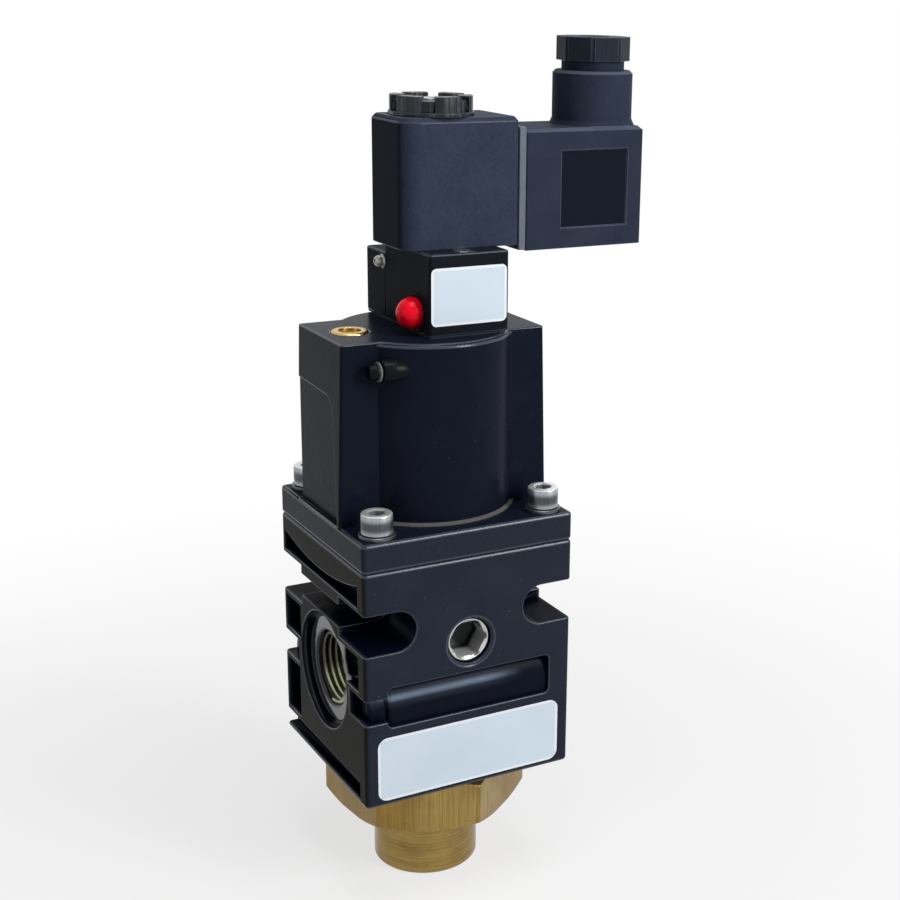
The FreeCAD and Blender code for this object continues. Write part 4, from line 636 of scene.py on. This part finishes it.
red = Finish("red acetal", {"Specular IOR Level": 0.14})
swell = red.noise(300.0, 2.0, 0.5)
red.feed("Base Color", red.mix(swell, paint(0.86, 0.000, 0.013), paint(0.96, 0.001, 0.019)))
red.feed("Roughness", 0.24 + swell * 0.08)
red.bump(swell, 0.05, 0.00008)
button_rings = [(-0.0165, 0.00190, 0), (-0.0163, 0.00200, 0), (-0.0125, 0.00200, 0), (-0.0120, 0.00120, 0),
                (-0.0080, 0.00120, 0), (-0.0075, 0.00200, 0), (-0.0020, 0.00200, 0), (-0.0020, 0.00340, 0)]
button_rings += dome(0.0015, 0.00420, -30, 83.6, 18)
ring_stack("override_push_button", red, button_rings,
           Matrix.Translation((BLOCK_LEFT, -0.0090, 0.1647)) @ TO_THE_LEFT, 64,
           body="override_button", stands_for=("override_button",))


# Coil: a winding moulded into a grained black nylon block, held on the armature tube by a lobed
# hand nut. The housing's left side is darkened as painted shade, and the lighter crowns of the nut's ribs are
# a painted highlight.

COIL_TOP = 0.2148
coil_nylon, skin = moulded("coil nylon", paint(0.0120, 0.0175, 0.0350), paint(0.0480, 0.0600, 0.0960),
                           0.40, 1500.0)
# The left side of the housing is darkened as painted shade.
painted_left_shade = (0.0 - coil_nylon.along(0)).ease(0.0094, 0.0099)
coil_nylon.feed("Base Color", coil_nylon.mix(painted_left_shade * 0.75, skin, paint(0.0030, 0.0042, 0.0080)))
eased("coil_housing", "coil_housing_moulding", coil_nylon, 0.00030, rim=rim_polish_and_highlight)
nut_nylon = Finish("glossy nut nylon", {"Specular IOR Level": 0.30})
NUT_RIBS, NUT_ACROSS = 18.0, 0.0026
back = nut_nylon.along(1)
spokes = back.maths("ARCTAN2", back, nut_nylon.along(0) - NUT_ACROSS) * NUT_RIBS
ribs = spokes.maths("SINE", spokes).ease(-0.3, 0.9)
scuff = nut_nylon.noise(900.0, 3.0, 0.6)
# The lighter rib crowns are a painted highlight.
tone = nut_nylon.mix(ribs * scuff, paint(0.0012, 0.0017, 0.0027), paint(0.042, 0.052, 0.066))
nut_nylon.feed("Base Color", tone)
nut_nylon.feed("Roughness", 0.20 + scuff * 0.2)
nut_nylon.bump(ribs, 0.8, 0.00040)
nut = eased("coil_nut", "coil_nut_moulding", nut_nylon, 0.00022, rim=rim_polish_and_highlight)
squeeze(nut, (1.0, 1.0, 0.81), (0.0, 0.0, COIL_TOP))


# Connector: pale profile gasket, angled plug housing with its cable neck, and the gland nut. The
# housing has a dark bare panel in a thin pale frame; the pale line on its top edge and the pale ring on its
# neck are painted highlights.

gasket_rubber = Finish("pale gasket rubber", {"Specular IOR Level": 0.35})
bloom = gasket_rubber.noise(400.0, 3.0, 0.6)
tone = gasket_rubber.mix(bloom, paint(0.066, 0.082, 0.114), paint(0.125, 0.149, 0.186))
gasket_rubber.feed("Base Color", tone)
gasket_rubber.feed("Roughness", 0.55 + bloom * 0.15)
gasket_rubber.bump(bloom, 0.2, 0.00008)
eased("connector_gasket", "connector_gasket_moulding", gasket_rubber, 0.00020)

PANEL_ACROSS, PANEL_HEIGHT = 0.0464, 0.1951
plug_nylon, skin = moulded("plug nylon", paint(0.0110, 0.0155, 0.0290), paint(0.0370, 0.0455, 0.0720),
                           0.40, 2100.0)
edge = (plug_nylon.along(0) - PANEL_ACROSS).size().larger((plug_nylon.along(2) - PANEL_HEIGHT).size())
in_panel = 1.0 - edge.ease(0.01010, 0.01025)
frame_line = edge.ease(0.01010, 0.01025) * (1.0 - edge.ease(0.01055, 0.01070))
skin = plug_nylon.mix(in_panel, skin, paint(0.0080, 0.0100, 0.0185))
level = plug_nylon.along(2)
# The pale line on the top edge and the pale ring on the neck are painted highlights.
painted_top_highlight = (level - 0.2110).size().ease(0.00050, 0.00065)
painted_top_highlight = (1.0 - painted_top_highlight) * plug_nylon.along(1).size().ease(0.0098, 0.0101)
painted_neck_highlight = (1.0 - (level - 0.2254).size().ease(0.00030, 0.00045)) * (1.0 - level.ease(0.2257, 0.2259))
bright = frame_line.larger(painted_top_highlight).larger(painted_neck_highlight)
plug_nylon.feed("Base Color", plug_nylon.mix(bright * 0.6, skin, paint(0.090, 0.110, 0.145)))
eased("connector_plug", "connector_plug_moulding", plug_nylon, 0.00025,
      rim=rim_polish_and_highlight, least=52)
gland_nylon = moulded("gland nut nylon", paint(0.0040, 0.0060, 0.0105), paint(0.0260, 0.0330, 0.0480),
                      0.30, 1700.0, 0.04)[0]
gland = eased("gland_nut", "gland_nut_moulding", gland_nylon, 0.00022, rim=rim_polish_and_highlight)
GLAND_DROP = 0.0007
gland.data.transform(Matrix.Translation((0, 0, -GLAND_DROP)))


# Pieces inside: seals, spool, piston, pilot and contact parts keep their CAD shape and get a
# plain finish each.

steel = Finish("turned steel", {"Metallic": 1.0})
tool_marks = steel.noise(1.0, 2.0, 0.5, steel.stretched((300.0, 300.0, 2800.0)))
steel.feed("Base Color", steel.mix(tool_marks, paint(0.40, 0.41, 0.42), paint(0.60, 0.61, 0.62)))
steel.feed("Roughness", 0.22 + tool_marks * 0.18)
steel.bump(tool_marks, 0.2, 0.00003)

zinc = Finish("bright zinc", {"Metallic": 1.0})
lathe = zinc.noise(1.0, 2.0, 0.5, zinc.stretched((240.0, 240.0, 3000.0)))
haze = zinc.noise(260.0, 3.0, 0.6)
zinc.feed("Base Color", zinc.mix(haze, paint(0.42, 0.435, 0.44), paint(0.68, 0.69, 0.68)))
zinc.feed("Roughness", 0.20 + lathe * 0.12 + haze * 0.06)
zinc.bump(lathe, 0.2, 0.00003)

alloy = Finish("turned alloy", {"Metallic": 1.0})
facing = alloy.noise(1.0, 2.0, 0.5, alloy.stretched((220.0, 220.0, 2600.0)))
alloy.feed("Base Color", alloy.mix(facing, paint(0.60, 0.61, 0.63), paint(0.76, 0.77, 0.79)))
alloy.feed("Roughness", 0.28 + facing * 0.16)
alloy.bump(facing, 0.2, 0.00004)

nitrile = Finish("nitrile rubber", {"Specular IOR Level": 0.35})
powder = nitrile.noise(800.0, 3.0, 0.6)
nitrile.feed("Base Color", nitrile.mix(powder, paint(0.010, 0.010, 0.010), paint(0.022, 0.022, 0.023)))
nitrile.feed("Roughness", 0.55 + powder * 0.20)
nitrile.bump(powder, 0.2, 0.00006)

copper = Finish("enamelled copper", {"Metallic": 1.0})
strand = copper.noise(1.0, 1.0, 0.4, copper.stretched((40.0, 40.0, 5200.0)))
copper.feed("Base Color", copper.mix(strand, paint(0.34, 0.11, 0.045), paint(0.70, 0.30, 0.13)))
copper.feed("Roughness", 0.24 + strand * 0.2)
copper.bump(strand, 0.6, 0.00012)

inside = {
    steel: ("stem", "throttle_needle", "armature_tube", "plunger", "pole_piece", "terminal_blades"),
    alloy: ("poppet", "piston"),
    zinc: ("poppet_nut", "piston_nut", "pilot_screws", "connector_screw", "gland_washer"),
    nitrile: ("fitting_seal", "body_seal", "passage_seals", "stem_seal", "inlet_seal", "exhaust_seal",
              "piston_seal", "pilot_gasket", "coil_seals", "gland_seal"),
    bush_brass: ("stem_guide", "nozzle"),
    copper: ("coil_winding",),
    block_nylon: ("contact_carrier",),
}
for finish, names in inside.items():
    for node in names:
        dress(node, finish)


# Springs: smooth-shaded copies of the CAD wires, carried by the valve body in place of the CAD
# nodes.

spring_wire = Finish("spring wire", {"Metallic": 1.0})
drawn = spring_wire.noise(900.0, 3.0, 0.6)
spring_wire.feed("Base Color", spring_wire.mix(drawn, paint(0.26, 0.26, 0.27), paint(0.44, 0.44, 0.45)))
spring_wire.feed("Roughness", 0.30 + drawn * 0.15)
spring_wire.bump(drawn, 0.2, 0.00004)


def spring(node):
    """A smooth-shaded copy of a CAD wire spring, carried by the valve body in place of the node."""
    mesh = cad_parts[node].data.copy()
    for face in mesh.polygons:
        face.use_smooth = True
    mesh.set_sharp_from_angle(angle=math.radians(50))
    piece = enrolled(add_object(node + "_wire", mesh, spring_wire), "valve", (node,))
    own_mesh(piece)


spring("return_spring")
spring("override_spring")
spring("plunger_spring")


# Studio: pale floor that fades into white, soft lamps, and the camera at the photo's angle. The
# floor and the sky are white to rays that see them, and dimmer as a source of light.

def seen_ray(net):
    """1 for rays from the camera, a glossy surface or a clear one; 0 for scattered light."""
    ray = net.tree.nodes.new("ShaderNodeLightPath")
    camera, glossy, clear = [Value(net, ray.outputs[name])
                             for name in ("Is Camera Ray", "Is Glossy Ray", "Is Transmission Ray")]
    return camera.larger(glossy).larger(clear)


def floor_finish():
    """Matt floor that takes the shadow near the object and turns white further out."""
    material = bpy.data.materials.new("studio floor")
    material.use_nodes = True
    net = Net(material.node_tree, "ShaderNode")
    net.tree.nodes.clear()
    place = net.add("TexCoord", output=3)
    distance = net.add("VectorMath", {"operation": "LENGTH"}, [place], output=1)
    share = 0.70 + distance.ease(0.08, 0.36) * 0.30
    matt = net.add("BsdfDiffuse", {}, {0: paint(0.70, 0.70, 0.70)})
    white = net.add("Emission", {}, {0: paint(1.0, 1.0, 1.0), 1: 1.0})
    both = net.add("MixShader", {}, {0: share * seen_ray(net), 1: matt, 2: white})
    leave = net.tree.nodes.new("ShaderNodeOutputMaterial")
    net.tree.links.new(both.socket, leave.inputs[0])
    return material


bpy.ops.mesh.primitive_circle_add(vertices=96, radius=3.0, fill_type="NGON", location=(0, 0, 0))
floor = bpy.context.object
floor.name = "studio_floor"
floor.data.materials.append(floor_finish())

world = bpy.data.worlds.new("studio")
bpy.context.scene.world = world
world.use_nodes = True
sky = Net(world.node_tree, "ShaderNode")
sky.tree.nodes.clear()
strength = 0.20 + seen_ray(sky) * 0.80
light = sky.add("Background", {}, {0: paint(1.0, 1.0, 1.0), 1: strength})
leave = sky.tree.nodes.new("ShaderNodeOutputWorld")
sky.tree.links.new(light.socket, leave.inputs[0])


def lamp(name, place, aim, size, power):
    """A soft box at a place, turned towards a point."""
    data = bpy.data.lights.new(name, "AREA")
    data.shape = "RECTANGLE"
    data.size, data.size_y = size
    data.energy = power
    item = bpy.data.objects.new(name, data)
    bpy.context.scene.collection.objects.link(item)
    item.location = place
    item.rotation_euler = (Vector(aim) - Vector(place)).to_track_quat("-Z", "Y").to_euler()


lamp("front_soft_box", (0.42, -0.72, 0.50), (0.0, 0.0, 0.12), (0.25, 0.5), 6.3)
lamp("top_soft_box", (0.0, -0.20, 0.95), (0.0, 0.0, 0.1), (0.45, 0.45), 3.9)
lamp("left_soft_box", (-0.85, -0.15, 0.35), (0.0, 0.0, 0.12), (0.2, 0.5), 0.3)

eye = bpy.data.cameras.new("photo_view")
camera = bpy.data.objects.new("photo_view", eye)
bpy.context.scene.collection.objects.link(camera)
camera.location = (-0.1803, -0.3807, 0.2490)
camera.rotation_euler = [math.radians(angle) for angle in (73.295, -1.360, -30.782)]
eye.sensor_width = 36.0
eye.lens = 63.33
eye.shift_x = -0.1432
eye.shift_y = 0.0066
bpy.context.scene.camera = camera
bpy.context.scene.view_settings.view_transform = "Standard"
